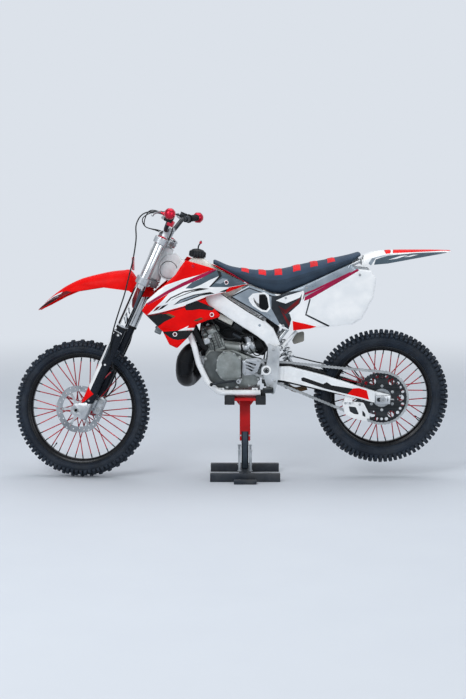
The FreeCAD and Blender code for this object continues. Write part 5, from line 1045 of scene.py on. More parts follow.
def makeFrontBrake():
    shape = Shape(forkPlace)
    turn = radians(35)
    r = 106
    spot = Vector((-61 + r * cos(turn), -62, -906.9 + r * sin(turn)))
    for side in (-1, 1):
        body = [(spot.x - 21, spot.z - 46, 8), (spot.x + 21, spot.z - 40, 14), (spot.x + 21, spot.z + 40, 14),
                (spot.x - 10, spot.z + 46, 10), (spot.x - 21, spot.z + 30, 8)]
        shape.plate(body, side * 4.6 - 62, side * 15 - 62, "clampAlloy", edge=3)
    shape.box(spot + Vector((17, 0, 0)), (9, 30, 78), "clampAlloy", 3)
    for up in (-22, 22):
        shape.turned([(0, 13), (2.6, 12), (2.6, 7), (1.2, 6), (1.2, 0)], "boltSteel",
                     spot + Vector((0, -15, up)), -1, 24)
    shape.box((-4, -84, spot.z), (24, 22, 44), "clampAlloy", 3)
    for up in (-15, 15):
        shape.bolt((-2, -95, spot.z + up), -1, 4)
    shape.bolt(spot + Vector((14, -15, 0)), -1, 4.5)
    shape.make("front_caliper", "hub", "steering")


def makeFrontAxle():
    shape = Shape(frontWheelPlace)
    shape.collar(-128, 128, 7, 10, "boltSteel", (0, 0, 0), 1, 32)
    for side in (-1, 1):
        shape.turned([(0, 10), (0, 13.5), (5.4, 13.5), (5.4, 10)], "darkSteel", (0, side * 70.3, 0), side, 32,
                     loop=True)
    shape.make("front_axle", "chrome", "steering")


def makeFrontLines():
    # points of the bike as it stands in the photo
    shape = Shape()
    hose = [(-330, 200, 1300), (-410, 170, 1318), (-500, 90, 1316), (-536, -10, 1268), (-534, -92, 1196),
            (-548, -118, 1100), (-570, -128, 1010), (-590, -141, 930), (-620, -141, 840), (-648, -140, 745),
            (-664, -130, 640), (-648, -104, 560), (-640, -84, 480), (-676, -72, 424), (-701, -66, 408)]
    shape.tube(hose, 3.4, "cableBlack", 10, 6)
    shape.make("brakeHose", body="steering")
    cables = Shape()
    for shift, high in ((0, 0), (16, 12)):
        cables.tube([(-392 + shift, -190, 1322), (-450, -170, 1330 + high), (-500 + shift, -100, 1300 + high),
                     (-492, -30, 1256), (-440 + shift, -14, 1236), (-392 + shift, -8, 1216)], 2.6, "cableBlack", 8, 6)
    cables.tube([(-360, -188, 1308), (-352, -150, 1270), (-360, -96, 1232), (-372, -50, 1200), (-384, -30, 1166)], 3,
                "cableBlack", 8, 6)
    coil = [(-548 + 6 * cos(k * 0.9), -112 + 6 * sin(k * 0.9), 1110 - k * 0.8) for k in range(80)]
    cables.tube(coil, 1.8, "anodRed", 6, 1)
    cables.make("controlCables", body="steering")


makeForkUpper()
makeForkLower()
makeClamps()
makeBars()
makeLevers()
makeGuards()
makeNumberPlate()
makeFrontFender()
makeFrontBrake()
makeFrontAxle()
makeFrontLines()
print("fork, bars and front fender")


# Frame: two white spars, pivot plates, cradle tubes and the subframe

pivotX, pivotZ = 104, 553
sparLine = [
    # along, then centre x y z, half reach in x and z, half width
    (0.0, -346, 34, 1031, 34, 63, 14), (0.42, -137, 80, 895, 23, 36.5, 14), (0.7, -10, 88, 812, 22, 34, 14),
    (0.92, 112, 90, 731, 22.5, 33.5, 14), (1.0, 145, 90, 669, 29, 11, 14),
]
pivotPlate = [(112, 688, 6), (146, 672, 4), (172, 676, 10), (164, 519, 20), (147, 440, 12), (136, 431, 8),
              (112, 452, 10), (89, 529, 16), (100, 560, 20), (112, 620, 20)]
cradleLine = [(-372, 31, 989), (-287, 63, 758), (-251, 90, 670), (-229, 90, 582), (-184, 90, 488), (-126, 90, 438.5),
              (76, 90, 438.5)]


def softRing(centre, up, side, power, count):
    # a rounded box section about a centre
    ring = []
    for k in range(count):
        turn = 2 * pi * (k + 0.5) / count
        c, s = cos(turn), sin(turn)
        ring.append(Vector(centre) + Vector(up) * swell(c, power) + Vector(side) * swell(s, power))
    return ring


def makeFrame():
    shape = Shape()
    head = axisPoint - axisUp * 164
    shape.turned([(0, 15.3), (0, 29), (2, 31), (14, 31), (17, 29.6), (153, 29.6), (156, 31), (168, 31), (170, 29),
                  (170, 15.3)], "frameWhite", head, axisUp, 48, loop=True)
    gusset = [(head.x + 25, head.z + 77, 6), (head.x + 40, head.z + 3, 10), (head.x + 122, head.z + 2, 14),
              (head.x + 136, head.z + 92, 14), (head.x + 110, head.z + 124, 12), (head.x + 60, head.z + 118, 8)]
    shape.plate(gusset, -37, 37, "frameWhite", edge=5)
    for side in (-1, 1):
        rings = []
        for step in range(15):
            x, y, z, rx, rz, wide = stationsAt(sparLine, step / 14)
            rings.append(softRing((x, side * y, z), (rx, 0, rz), (0, wide, 0), 0.36, 24))
        shape.loft(rings, "frameWhite")
        shape.plate(pivotPlate, side * 99.5, side * 114.5, "frameSilver", [circle(pivotX, pivotZ, 9.3, 24)], edge=3.5)
        shape.turned([(0, 9.4), (0, 23), (1.5, 24), (3.5, 23), (4, 15), (2, 14), (2, 9.4)], "frameWhite",
                     (pivotX, side * 114, pivotZ), side, 36, loop=True)
        for x, z, r in ((138, 655, 5), (128, 470, 4), (146, 500, 4)):
            shape.bolt((x, side * 114.4, z), side, r)
        trim = []
        for step in range(13):
            x, y, z, rx, rz, wide = stationsAt(sparLine, 0.1 + step * 0.062)
            trim.append((x + rx * 0.93, side * (y + wide - 2.2), z + rz * 0.93))
        shape.tube(trim, 2.6, "blackFilm", 8, 2)
        x, y, z, rx, rz, wide = stationsAt(sparLine, 0.835)
        shape.turned([(0, 0), (0, 7), (0.8, 6.4), (0.8, 0)], "greyFilm", (x + 6, side * (y + wide - 0.4), z + 8),
                     side, 20)
        shape.turned([(0, 0), (0, 50), (3, 50), (5, 48), (5, 45), (3.4, 44), (3.4, 41), (5, 40), (8, 36), (9, 0)],
                     "frameWhite", (-378, side * 34, 1042), side, 48)
        # painted shade: a thin black ring laid in the floor of the boss's groove stands for the shade in that groove
        shape.turned([(0, 43.6), (0.6, 43.6), (0.6, 41.4), (0, 41.4)], "blackFilm", (-378, side * 37.5, 1042),
                     side, 48, loop=True)
    for x, z, r, half in ((134, 466, 17, 100), (92, 772, 17, 88)):
        shape.pin((x, 0, z), half, r, "frameWhite", 28)
    shape.make("main_frame", "frame_paint")
    pivot = Shape()
    pivot.turned([(-121, 5), (-121, 8.4), (-120, 9), (120, 9), (121, 8.4), (121, 5)], "darkSteel",
                 (pivotX, 0, pivotZ), 1, 36, loop=True)
    for side in (-1, 1):
        for y, profile, look in ((116.2, [(0, 9), (0, 14.4), (1.2, 14.4), (2.4, 13), (2.4, 9)], "blackPlastic"),
                                 (118.6, [(0, 5), (0, 10.4), (1.6, 10.2), (2.2, 9.2), (2.2, 5)], "boltSteel")):
            pivot.turned(profile, look, (pivotX, side * y, pivotZ), side, 32, loop=True)
    pivot.make("pivot_bolt", "chrome")
    for side, node in ((-1, "cradle_left"), (1, "cradle_right")):
        tube = Shape()
        tube.tube(eased([(x, side * y, z) for x, y, z in cradleLine], 66, 8), 14, "frameWhite", 20, 1)
        for x, z in ((-118, 438.5), (48, 438.5)):
            tube.box((x, side * 84, z + 10), (30, 12, 26), "frameWhite", 3)
            tube.bolt((x, side * 90, z + 14), side, 4.5)
        tube.make(node, "cradle_metal")


def makeSubframe():
    shape = Shape()
    for side in (-1, 1):
        y = side * 62.8
        shape.tube(eased([(64, y, 800), (191, y, 907), (299, y, 969), (566, y, 1090)], 70), 10, "frameSilver", 16, 1)
        shape.tube([(145, y, 672), (431, y, 1030)], 10, "frameSilver", 16, 1)
        for x, z in ((288, 851), (299, 969)):
            shape.rod((x, side * 62, z), (x, side * 113, z), 7, "frameSilver", 16)
    shape.pin((431, 0, 1030), 62, 7, "frameSilver", 16)
    shape.make("subframe", "cradle_metal")


# Bodywork

shroudLine = [
    (-291, 1097, 4), (-148, 1054, 8), (14, 977, 3), (-78, 942, 12), (-200, 916, 20), (-180, 878, 8), (-160, 866, 6),
    (-150, 858, 6), (-124, 830, 8), (-128, 816, 5), (-186, 802, 12), (-244, 778, 10), (-254, 751, 8), (-283, 716, 10),
    (-334, 664, 12), (-372, 683, 12), (-403, 747, 14), (-506, 851, 12), (-480, 902, 24), (-407, 967, 24),
    (-342, 1025, 20), (-315, 1066, 12),
]
shroudPaint = [
    # red on top, a white spear over a thin magenta stripe, slate behind, then white with sharp shards, each (x, z)
    ([(-520, 1110), (-520, 760), (40, 760), (40, 1110)], "redPlastic"),
    ([(-389, 976), (-302, 1006), (-224, 1026), (-142, 1056), (30, 985), (30, 920), (-102, 939), (-183, 921),
      (-237, 900), (-303, 873), (-384, 851), (-482, 826), (-506, 832), (-506, 900), (-454, 930)], "whitePlastic"),
    ([(-510, 845), (-482, 890), (-474, 881), (-373, 936), (-400, 906), (-482, 827)], "redPlastic"),
    ([(-482, 888), (-384, 948), (-308, 987), (-224, 1025), (-142, 1056), (-136, 1046), (-216, 1009), (-302, 971),
      (-373, 937), (-474, 881)], "magentaFilm"),
    ([(-138, 1050), (30, 984), (-80, 965), (-175, 966), (-129, 1019), (-172, 1001), (-216, 978), (-259, 960),
      (-292, 960), (-259, 990), (-216, 1008)], "slateFilm"),
    ([(-142, 1056), (-124, 1048), (-114, 1019), (-168, 968), (-178, 966), (-128, 1019)], "blackFilm"),
    ([(-150, 985), (-112, 1008), (-82, 1004), (-120, 982)], "greyFilm"),
    ([(-392, 888), (-366, 916), (-300, 946), (-222, 962), (-176, 958), (-262, 942), (-330, 916)], "blackFilm"),
    ([(-384, 890), (-362, 911), (-300, 940), (-240, 953), (-262, 946), (-330, 920)], "whitePlastic"),
    ([(-352, 878), (-318, 906), (-250, 930), (-172, 942), (-150, 934), (-216, 924), (-288, 898)], "blackFilm"),
    ([(-344, 880), (-314, 902), (-250, 925), (-196, 934), (-226, 927), (-292, 902)], "greyFilm"),
    ([(-430, 852), (-404, 876), (-376, 884), (-404, 862)], "blackFilm"),
    ([(-452, 846), (-432, 870), (-408, 878), (-430, 856)], "darkRedFilm"),
    ([(-128, 941), (-84, 958), (-64, 956), (-100, 941)], "blackFilm"),
    ([(-96, 941), (-80, 963), (30, 981), (-75, 932)], "redPlastic"),
    ([(-102, 938), (-75, 932), (30, 977), (26, 971), (-72, 926), (-106, 934)], "blackFilm"),
    ([(-506, 826), (-384, 848), (-303, 870), (-237, 897), (-183, 918), (-102, 936), (-106, 931), (-183, 912),
      (-237, 892), (-303, 864), (-384, 842), (-480, 820)], "darkRedFilm"),
    ([(-510, 838), (-488, 821), (-425, 835), (-373, 838), (-341, 823), (-395, 797), (-431, 770), (-500, 800)],
     "blackFilm"),
    ([(-388, 834), (-373, 838), (-341, 823), (-352, 817)], "linkBrown"),
    ([(-254, 802), (-216, 818), (-205, 810), (-238, 797)], "linkBrown"),
    ([(-297, 868), (-289, 881), (-237, 900), (-151, 862), (-160, 850), (-227, 858), (-259, 853), (-289, 853)],
     "blackFilm"),
    ([(-404, 746), (-330, 753), (-251, 755), (-250, 738), (-287, 712), (-330, 706), (-374, 716)], "blackFilm"),
    ([(-330, 752), (-276, 777), (-284, 765), (-246, 766), (-248, 753)], "whitePlastic"),
    ([(-394, 738), (-363, 715), (-330, 704), (-292, 684), (-370, 672)], "redPlastic"),
]
shroudBolts = [(-93, 988), (-164, 830), (-344, 735), (-256, 1068)]


def makeShroud(side):
    shape = Shape()

    def surface(x, z, edge):
        y = 160 - 40 * (x + 506) / 520
        roll = max(0.0, 7 - edge) ** 2 / 7
        crease = 5 * exp(-((z - 925 - 0.28 * (x + 300)) / 26) ** 2)
        belly = 10 * max(0.0, 1 - ((x + 300) / 240) ** 2) * max(0.0, 1 - ((z - 880) / 230) ** 2)
        return (x, side * min(y - roll - 9 + crease + belly, 159.8), z)

    shape.skin(shroudLine, surface, "redPlastic", shroudPaint, step=13, thick=3.5, roll=7, faces=(0, side, 0))
    for x, z in shroudBolts:
        place = Vector(surface(x, z, 50)) + Vector((0, -side * 0.6, 0))
        top = z > 1000
        shape.turned([(0, 11), (1.4, 11), (1.8, 9.6), (1.8, 8), (0.8, 7.4)], "redPlastic" if top else "whitePlastic",
                     place, side, 28, loop=True)
        shape.turned([(0, 7.8), (1.2, 7.6), (1.2, 5.6), (0, 5.6)], "anodRed", place, side, 28, loop=True)
        shape.bolt(place, side, 3.6, "anodRed" if top else "darkSteel", 2.0)
    shape.make("shroud_left" if side < 0 else "shroud_right", "red_plastic")


tankLine = [
    # x, top, bottom, half width
    (-288, 1060, 973, 20), (-280, 1082, 960, 24), (-261, 1100, 951, 28), (-234, 1108, 941, 33), (-198, 1094, 932, 40),
    (-160, 1062, 919, 48), (-92, 1024, 905, 53), (-16, 985, 905, 54),
]


def makeTank():
    shape = Shape()
    start, end = tankLine[0][0], tankLine[-1][0]
    rings = []
    for step in range(29):
        x = start + (end - start) * step / 28
        top, low, half = stationsAt(tankLine, x)
        middle, rise = (top + low) / 2, (top - low) / 2
        ring = []
        for k in range(32):
            turn = 2 * pi * (k + 0.5) / 32
            c, s = cos(turn), sin(turn)
            ring.append((x, half * swell(s, 0.55), middle + rise * swell(c, 0.6)))
        rings.append(ring)
    shape.loft(rings, "creamPlastic")
    for side in (-1, 1):
        shape.rod((-160, side * 40, 924), (-160, side * 75, 924), 9, "boltSteel", 20)
    shape.make("fuel_tank", "white_plastic")
    cap = Shape(Matrix.Translation((-238, 0, 1102)) @ spin(8, "Y"))
    cap.turned([(0, 0), (0, 34), (6, 38), (22, 39), (31, 35), (38, 27), (41, 18), (43, 8), (43, 0)], "blackPlastic",
               sides=48)
    for k in range(16):
        spot = around(k * 22.5, 37.5)
        cap.turned([(4, 0), (4, 4.5), (24, 4.5), (29, 2.5), (30, 0)], "blackPlastic", (spot.x, spot.z, 0), sides=12)
    cap.tube([(0, 0, 42), (0, 0, 56), (7, 0, 72), (10, 0, 84)], 3.6, "cableBlack", 12)
    cap.turned([(0, 3), (2, 6), (6, 7.2), (11, 6), (14.5, 2), (14.8, 0)], "anodRed", (8, 0, 68), sides=20)
    cap.make("tank_cap", "black_metal")


seatLine = [
    # x, top, bottom, half width
    (-157, 1090, 1072, 52), (-150, 1093, 1068, 58), (-75, 1062, 1028, 66), (17, 1046, 974, 78), (111, 1040, 938, 91),
    (154, 1044, 927, 96), (191, 1050, 927, 97), (299, 1075, 968, 97), (415, 1097, 1024, 92), (516, 1119, 1076, 83),
    (560, 1131, 1108, 74), (567, 1128, 1114, 70),
]
ribPlaces = [-4, 79, 160, 250, 334, 421]


def makeSeat():
    shape = Shape()
    count, across = 120, 36
    start, end = seatLine[0][0], seatLine[-1][0]
    points, looks = [], []
    for step in range(count + 1):
        x = start + (end - start) * step / count
        top, low, half = stationsAt(seatLine, x)
        nearest = min(abs(x - rib) for rib in ribPlaces)
        rib = 3.0 * exp(-(nearest / 17) ** 8)
        rise = top - 3.6 - low
        for k in range(across):
            turn = 2 * pi * (k + 0.5) / across
            c, s = cos(turn), sin(turn)
            y = half * swell(s, 0.5)
            if c > 0:
                z = low + rise * (0.32 + 0.68 * abs(c) ** 0.62)
                y *= 0.93 + 0.07 * (1 - abs(c) ** 0.8)
                z += rib * min(1.0, max(0.0, abs(c) - 0.42) * 6)
            else:
                z = low + rise * 0.32 * (1 - abs(c) ** 0.5)
                y *= 1 - 0.05 * abs(c)
            points.append((x, y, z))
        looks.append(nearest)
    part = bmesh.new()
    made = [part.verts.new(p) for p in points]
    vinyl, sideLook, red = (shape.indexOf(name) for name in ("seatVinyl", "seatSide", "ribRed"))
    for index, face in enumerate(woven(count + 1, across, False)):
        flat = part.faces.new([made[i] for i in face])
        flat.smooth = True
        flat.material_index = vinyl
        if index < count * across:
            step, k = divmod(index, across)
            up = cos(2 * pi * (k + 1) / across)
            flat.material_index = vinyl if up > 0.3 else sideLook
            if looks[step] < 17.5 and up > 0.5:
                flat.material_index = red
    bmesh.ops.recalc_face_normals(part, faces=part.faces)
    shape.take(part)
    for side in (-1, 1):
        seam = []
        for step in range(41):
            x = -140 + 690 * step / 40
            top, low, half = stationsAt(seatLine, x)
            seam.append((x, side * half * 0.985, low + (top - 3.6 - low) * 0.47))
        shape.tube(seam, 1.5, "seatSide", 6, 1)
        piping = []
        for step in range(17):
            x = -120 + 137 * step / 16
            top, low, half = stationsAt(seatLine, x)
            piping.append((x, side * (half * 0.975), low + 3))
        shape.tube(piping, 1.6, "magentaFilm", 8, 1)
    made = shape.make("seat", "seat_cover")


panelLine = [(-75, 916, 6), (19, 973, 16), (131, 931, 30), (179, 926, 20), (290, 973, 40), (514, 1076, 12),
             (551, 1053, 10), (617, 1045, 14), (641, 1006, 20), (628, 912, 40), (572, 808, 26), (526, 780, 20),
             (395, 768, 30), (226, 749, 14), (188, 757, 10), (160, 775, 10)]
windowLine = [(39, 912, 8), (70, 928, 10), (97, 929, 8), (108, 912, 8), (116, 866, 8), (105, 849, 8), (84, 852, 12),
              (58, 869, 14), (43, 892, 10)]
panelPaint = [
    ([(-90, 905), (19, 985), (131, 940), (160, 915), (128, 866), (170, 780), (150, 770), (60, 830)], "greyFilm"),
    ([(-80, 916), (19, 976), (131, 934), (179, 928), (198, 932), (186, 936), (132, 944), (20, 988), (-92, 926)],
     "whitePlastic"),
    ([(-80, 916), (19, 962), (131, 922), (156, 919), (152, 915), (128, 917), (19, 957), (-70, 912)], "blackFilm"),
    ([(-90, 912), (-76, 906), (66, 826), (164, 762), (158, 755), (60, 812)], "whitePlastic"),
    ([(-70, 912), (70, 832), (168, 766), (166, 770), (72, 838), (-62, 916)], "blackFilm"),
    ([(15, 911), (37, 932), (93, 939), (115, 926), (124, 859), (107, 840), (79, 844), (37, 872), (20, 894)],
     "whitePlastic"),
    ([(128, 915), (170, 925), (198, 934), (290, 972), (290, 915), (279, 894), (216, 838), (226, 806), (213, 756),
      (168, 785), (128, 859)], "darkSteel"),
    ([(160, 873), (198, 852), (268, 911), (261, 883), (212, 845), (198, 831)], "darkRedFilm"),
    ([(170, 859), (191, 831), (229, 774), (220, 756), (196, 802)], "darkRedFilm"),
    ([(150, 898), (198, 920), (284, 946), (268, 913), (198, 883)], "whitePlastic"),
    ([(279, 950), (292, 952), (279, 890), (228, 834), (212, 834), (266, 883), (274, 901)], "whitePlastic"),
    ([(198, 940), (292, 980), (514, 1084), (560, 1052), (292, 917), (286, 946)], "greyFilm"),
    ([(289, 935), (338, 954), (512, 1038), (519, 1032), (338, 943), (292, 925)], "magentaFilm"),
    ([(292, 916), (548, 1053), (556, 1045), (320, 908), (288, 896)], "magentaFilm"),
    ([(288, 896), (320, 908), (560, 1046), (700, 1040), (640, 840), (570, 760), (347, 760), (230, 800), (226, 824),
      (284, 880)], "whitePlastic"),
    ([(314, 906), (321, 904), (301, 831), (414, 775), (410, 767), (293, 826)], "darkSteel"),
    ([(228, 798), (297, 783), (350, 769), (297, 752), (232, 746)], "redPlastic"),
    ([(213, 756), (226, 800), (232, 798), (236, 744)], "whitePlastic"),
]


def makePanel(side):
    shape = Shape()

    def surface(x, z, edge):
        roll = max(0.0, 6 - edge) ** 2 / 6
        dish = 4 * min(1.0, max(0.0, (x - 240) / 60)) * min(1.0, edge / 60)
        return (x, side * (114.6 - roll * 0.5 + dish * 0.7), z)

    shape.skin(panelLine, surface, "whitePlastic", panelPaint, step=15, thick=3, roll=6,
               holes=[windowLine], faces=(0, side, 0))
    for x, z in ((198, 911), (300, 960), (186, 775), (560, 1024)):
        shape.bolt(surface(x, z, 50), side, 4.2)
    shape.make("side_panel_left" if side < 0 else "side_panel_right", "white_plastic")


tailPaint = [
    ([(628, 96), (640, 74), (700, 62), (840, 60), (960, 66), (1004, 80), (900, 96)], "slateFilm"),
    ([(604, 84), (622, 66), (690, 56), (760, 56), (700, 60), (640, 70), (616, 92)], "greyFilm"),
    ([(700, 80), (760, 72), (800, 72), (742, 81)], "whitePlastic"),
    ([(776, 80), (820, 74), (850, 75), (812, 82)], "whitePlastic"),
]
tailLine = [
    # x, crown, half width, side drop
    (572, 1111, 84, 46), (634, 1131, 84, 58), (701, 1139, 84, 60), (770, 1140, 81, 46), (838, 1140, 77, 33),
    (954, 1139, 64, 16), (1016, 1136, 42, 8),
]


def makeTail():
    shape = Shape()
    outline = mirrored([(572, -90, 4), (700, -90, 0), (960, -90, 20), (1000, -76, 26), (1015, -40, 24)])
    paints = [([(690, -52), (690, 52), (1020, 40), (1020, -40)], "redPlastic"),
              ([(712, -56), (724, -56), (738, 56), (726, 56)], "whitePlastic"), *bothSides(tailPaint)]
    shape.skin(outline, moulded(tailLine, 0.5, 1.6), "whitePlastic", paints, step=12, thick=3.2, roll=4,
               faces=(0, 0, 1))
    shape.box((574.5, 0, 1081), (5, 160, 27), "whitePlastic", 1.5)
    shape.make("rear_fender", "white_plastic")
    flap = Shape()
    flap.skin([(232, 694, 8), (240, 674, 10), (292, 690, 12), (292, 742, 12), (252, 730, 10)],
              lambda x, z, edge: (x, -55 + 0.06 * (z - 674), z), "flapGrey", step=14, thick=3, roll=0)
    flap.tube([(254, -66, 742), (184, -66, 664)], 8.5, "frameWhite", 16, 1)
    flap.collar(-12, 12, 7, 13, "frameWhite", (180, -66, 660), 1, 24)
    flap.make("mudFlap")


# Swingarm, chain and guide

armLine = [(84, 540, 8), (103, 568, 14), (224, 570, 40), (390, 527, 60), (585, 464, 30), (644, 445, 10),
           (722, 426, 12), (715, 383, 10), (667, 383, 12), (569, 410, 30), (211, 496, 30), (116, 510, 14)]


def makeSwingarm():
    shape = Shape()
    for side in (-1, 1):
        shape.plate(armLine, side * 81, side * 99, "frameWhite", edge=3)
        back = [(193, 566, 6), (224, 570, 40), (390, 527, 60), (585, 464, 30), (640, 446, 10), (640, 390, 10),
                (569, 410, 30), (211, 496, 30), (193, 500, 6)]
        shape.plate(back, side * 81, side * 110, "frameWhite", edge=6, rounds=3)
        shape.box((680, side * 95.5, 405), (74, 31, 44), "clampAlloy", 4)
        slot = [(650, 416, 9), (706, 416, 9), (706, 396, 9), (650, 396, 9)]
        shape.plate(slot, side * 109, side * 112.5, "darkSteel", [circle(678, 406, 12.3, 24)], edge=1)
        shape.box((684, side * 112, 409), (36, 5, 32), "clampAlloy", 1.5)
        shape.bolt((716, side * 95, 405), (1, 0, 0), 5)
        shape.rod((706, side * 95, 405), (736, side * 95, 405), 4, "boltSteel", 12)
        face = side * 110.25
        stripe = [(276, 514), (288, 518), (384, 484), (402, 494), (426, 478), (533, 461), (501, 430), (402, 458),
                  (278, 500)]
        wedge = [(501, 430), (533, 463), (576, 465), (600, 452), (612, 404), (575, 409), (540, 416)]
        outline = [(250, 556, 8), (390, 519, 40), (600, 452, 20), (632, 442, 6), (632, 400, 8), (569, 418, 20),
                   (250, 496, 8)]
        shape.skin(outline, lambda x, z, edge: (x, face, z), "frameWhite",
                   [(stripe, "blackFilm"), (wedge, "redPlastic")], step=16, thick=0.5, roll=0,
                   faces=(0, side, 0))
    shape.pin((pivotX, 0, pivotZ), 81, 26, "clampAlloy", 32)
    shape.box((235, 0, 520), (60, 162, 56), "frameSilver", 8)
    shape.pin((206, 0, 468), 70, 13, "darkSteel", 24)
    for y in (-36, 36):
        shape.tube([(200, y, 500), (206, y, 470), (250, y, 440), (308, y, 452)], 8, "linkBrown", 12, 4)
    slider = [(96, 566, 4), (104, 584, 6), (224, 580, 20), (400, 536, 20), (404, 526, 4), (224, 571, 20)]
    shape.plate(slider, -82, -52, "softRubber", edge=2)
    under = [(96, 512, 4), (230, 490, 20), (430, 442, 20), (430, 434, 4), (230, 480, 20), (96, 498, 6)]
    shape.plate(under, -82, -55, "softRubber", edge=2)
    shape.make("swingarm", "frame_paint")


chainPlace = {"y": -66, "front": Vector((40, 0, 568)), "frontR": 32.9, "rearR": 128.9, "links": 110}


def chainLine():
    front, rear = chainPlace["front"], rearAxle
    span = rear - front
    lean = atan2(span.z, span.x)
    spread = acos((chainPlace["frontR"] - chainPlace["rearR"]) / span.length)
    line = []

    def arc(centre, r, first, last, steps):
        for k in range(steps + 1):
            x, z = polar(first + (last - first) * k / steps, r)
            line.append(centre + Vector((x, 0, z)))

    arc(front, chainPlace["frontR"], lean - spread + 2 * pi, lean + spread, 60)
    arc(rear, chainPlace["rearR"], lean + spread, lean - spread, 160)
    return line + [line[0]]


def makeChain():
    shape = Shape(Matrix.Translation((0, chainPlace["y"], 0)))
    line = chainLine()
    lengths = [0.0]
    for a, b in zip(line, line[1:]):
        lengths.append(lengths[-1] + (b - a).length)
    count = chainPlace["links"]
    pitch = lengths[-1] / count
    pins = []
    index = 0
    for k in range(count):
        while lengths[index + 1] < k * pitch:
            index += 1
        t = (k * pitch - lengths[index]) / max(lengths[index + 1] - lengths[index], 1e-6)
        pins.append(line[index].lerp(line[index + 1], t))
    for k, pin in enumerate(pins):
        after = pins[(k + 1) % count]
        run = after - pin
        place = Matrix.Translation(pin) @ Matrix.Rotation(-atan2(run.z, run.x), 4, "Y")
        # wide plates of the outer links and waisted ones of the inner links take turns
        r, y = (6.9, 6.0) if k % 2 else (7.3, 4.2)
        long = run.length
        outline = []
        for centre, first in ((long, -90), (0, 90)):
            for step in range(7):
                a = radians(first + step * 30)
                outline.append((centre + r * cos(a), r * sin(a)))
        outline.insert(7, (long * 0.5, r * 0.66))
        outline.append((long * 0.5, -r * 0.66))
        for side in (-1, 1):
            shape.plate(outline, side * y, side * (y + 1.6), "chainSteel", edge=0, at=place)
        shape.pin(pin, 4.2, 5.1, "boltSteel", 10)
        shape.pin(pin, 8.3, 2.5, "boltSteel", 8)
    shape.make("chain", "chain_steel", sharp=30)


def makeGuide():
    shape = Shape()
    outline = [(478, 396, 12), (586, 388, 16), (619, 323, 14), (614, 290, 16), (533, 309, 24), (495, 328, 16)]
    inner = [(512, 372, 6), (548, 364, 6), (566, 326, 6), (540, 330, 8), (520, 342, 6)]
    second = [(580, 352, 5), (596, 330, 5), (598, 312, 5), (582, 322, 5)]
    for y0, y1 in ((-82, -76), (-56, -50)):
        shape.plate(outline, y0, y1, "whitePlastic", [inner, second], edge=2)
    shape.plate([(505, 368, 5), (600, 358, 8), (606, 306, 8), (536, 322, 10), (508, 338, 6)], -76, -74.8,
                "blackPlastic", edge=0)
    for x, z in ((496, 384), (520, 384), (568, 378), (610, 302)):
        shape.bolt((x, -82, z), -1, 4)
    shape.plate([(488, 392, 4), (530, 390, 4), (530, 425, 6), (494, 430, 6)], -97, -80, "whitePlastic", edge=2)
    shape.box((510, -66, 392), (44, 20, 6), "softRubber", 2)
    shape.make("chain_guide", "white_plastic")


makeFrame()
makeSubframe()
makeTank()
makeSeat()
for way in (-1, 1):
    makeShroud(way)
    makePanel(way)
makeTail()
makeSwingarm()
makeChain()
makeGuide()
print("frame, bodywork and chain")


# Engine, exhaust and what sits round them

caseLine = [(-205, 556, 10), (-196, 618, 14), (-178, 643, 10), (-62, 646, 12), (-14, 626, 16), (22, 612, 20),
            (76, 588, 20), (79, 522, 20), (58, 472, 16), (4, 453, 14), (-128, 452, 20), (-186, 478, 22),
            (-204, 516, 14)]
caseFront = [(-204, 560, 10), (-196, 612, 14), (-172, 640, 10), (-66, 642, 12), (-18, 620, 12), (-16, 520, 12),
             (-30, 470, 16), (-60, 455, 10), (-128, 454, 20), (-184, 480, 22), (-203, 516, 14)]
ignitionLine = [(-142, 572, 30), (-136, 614, 34), (-110, 640, 30), (-78, 644, 30), (-46, 630, 12), (-42, 617, 5),
                (-22, 615, 8), (-20, 536, 10), (-26, 506, 10), (-44, 500, 8), (-62, 492, 20), (-88, 492, 34),
                (-120, 508, 34), (-140, 540, 30)]
sprocketCover = [(-12, 590, 8), (6, 607, 12), (60, 611, 10), (82, 600, 6), (72, 572, 10), (60, 540, 14),
                 (28, 526, 12), (-4, 524, 8), (-14, 540, 10)]
clutchLine = [(-116, 560, 36), (-104, 610, 36), (-60, 635, 36), (-10, 628, 36), (28, 598, 30), (36, 552, 36),
              (14, 502, 36), (-34, 484, 36), (-86, 494, 36), (-112, 524, 30)]


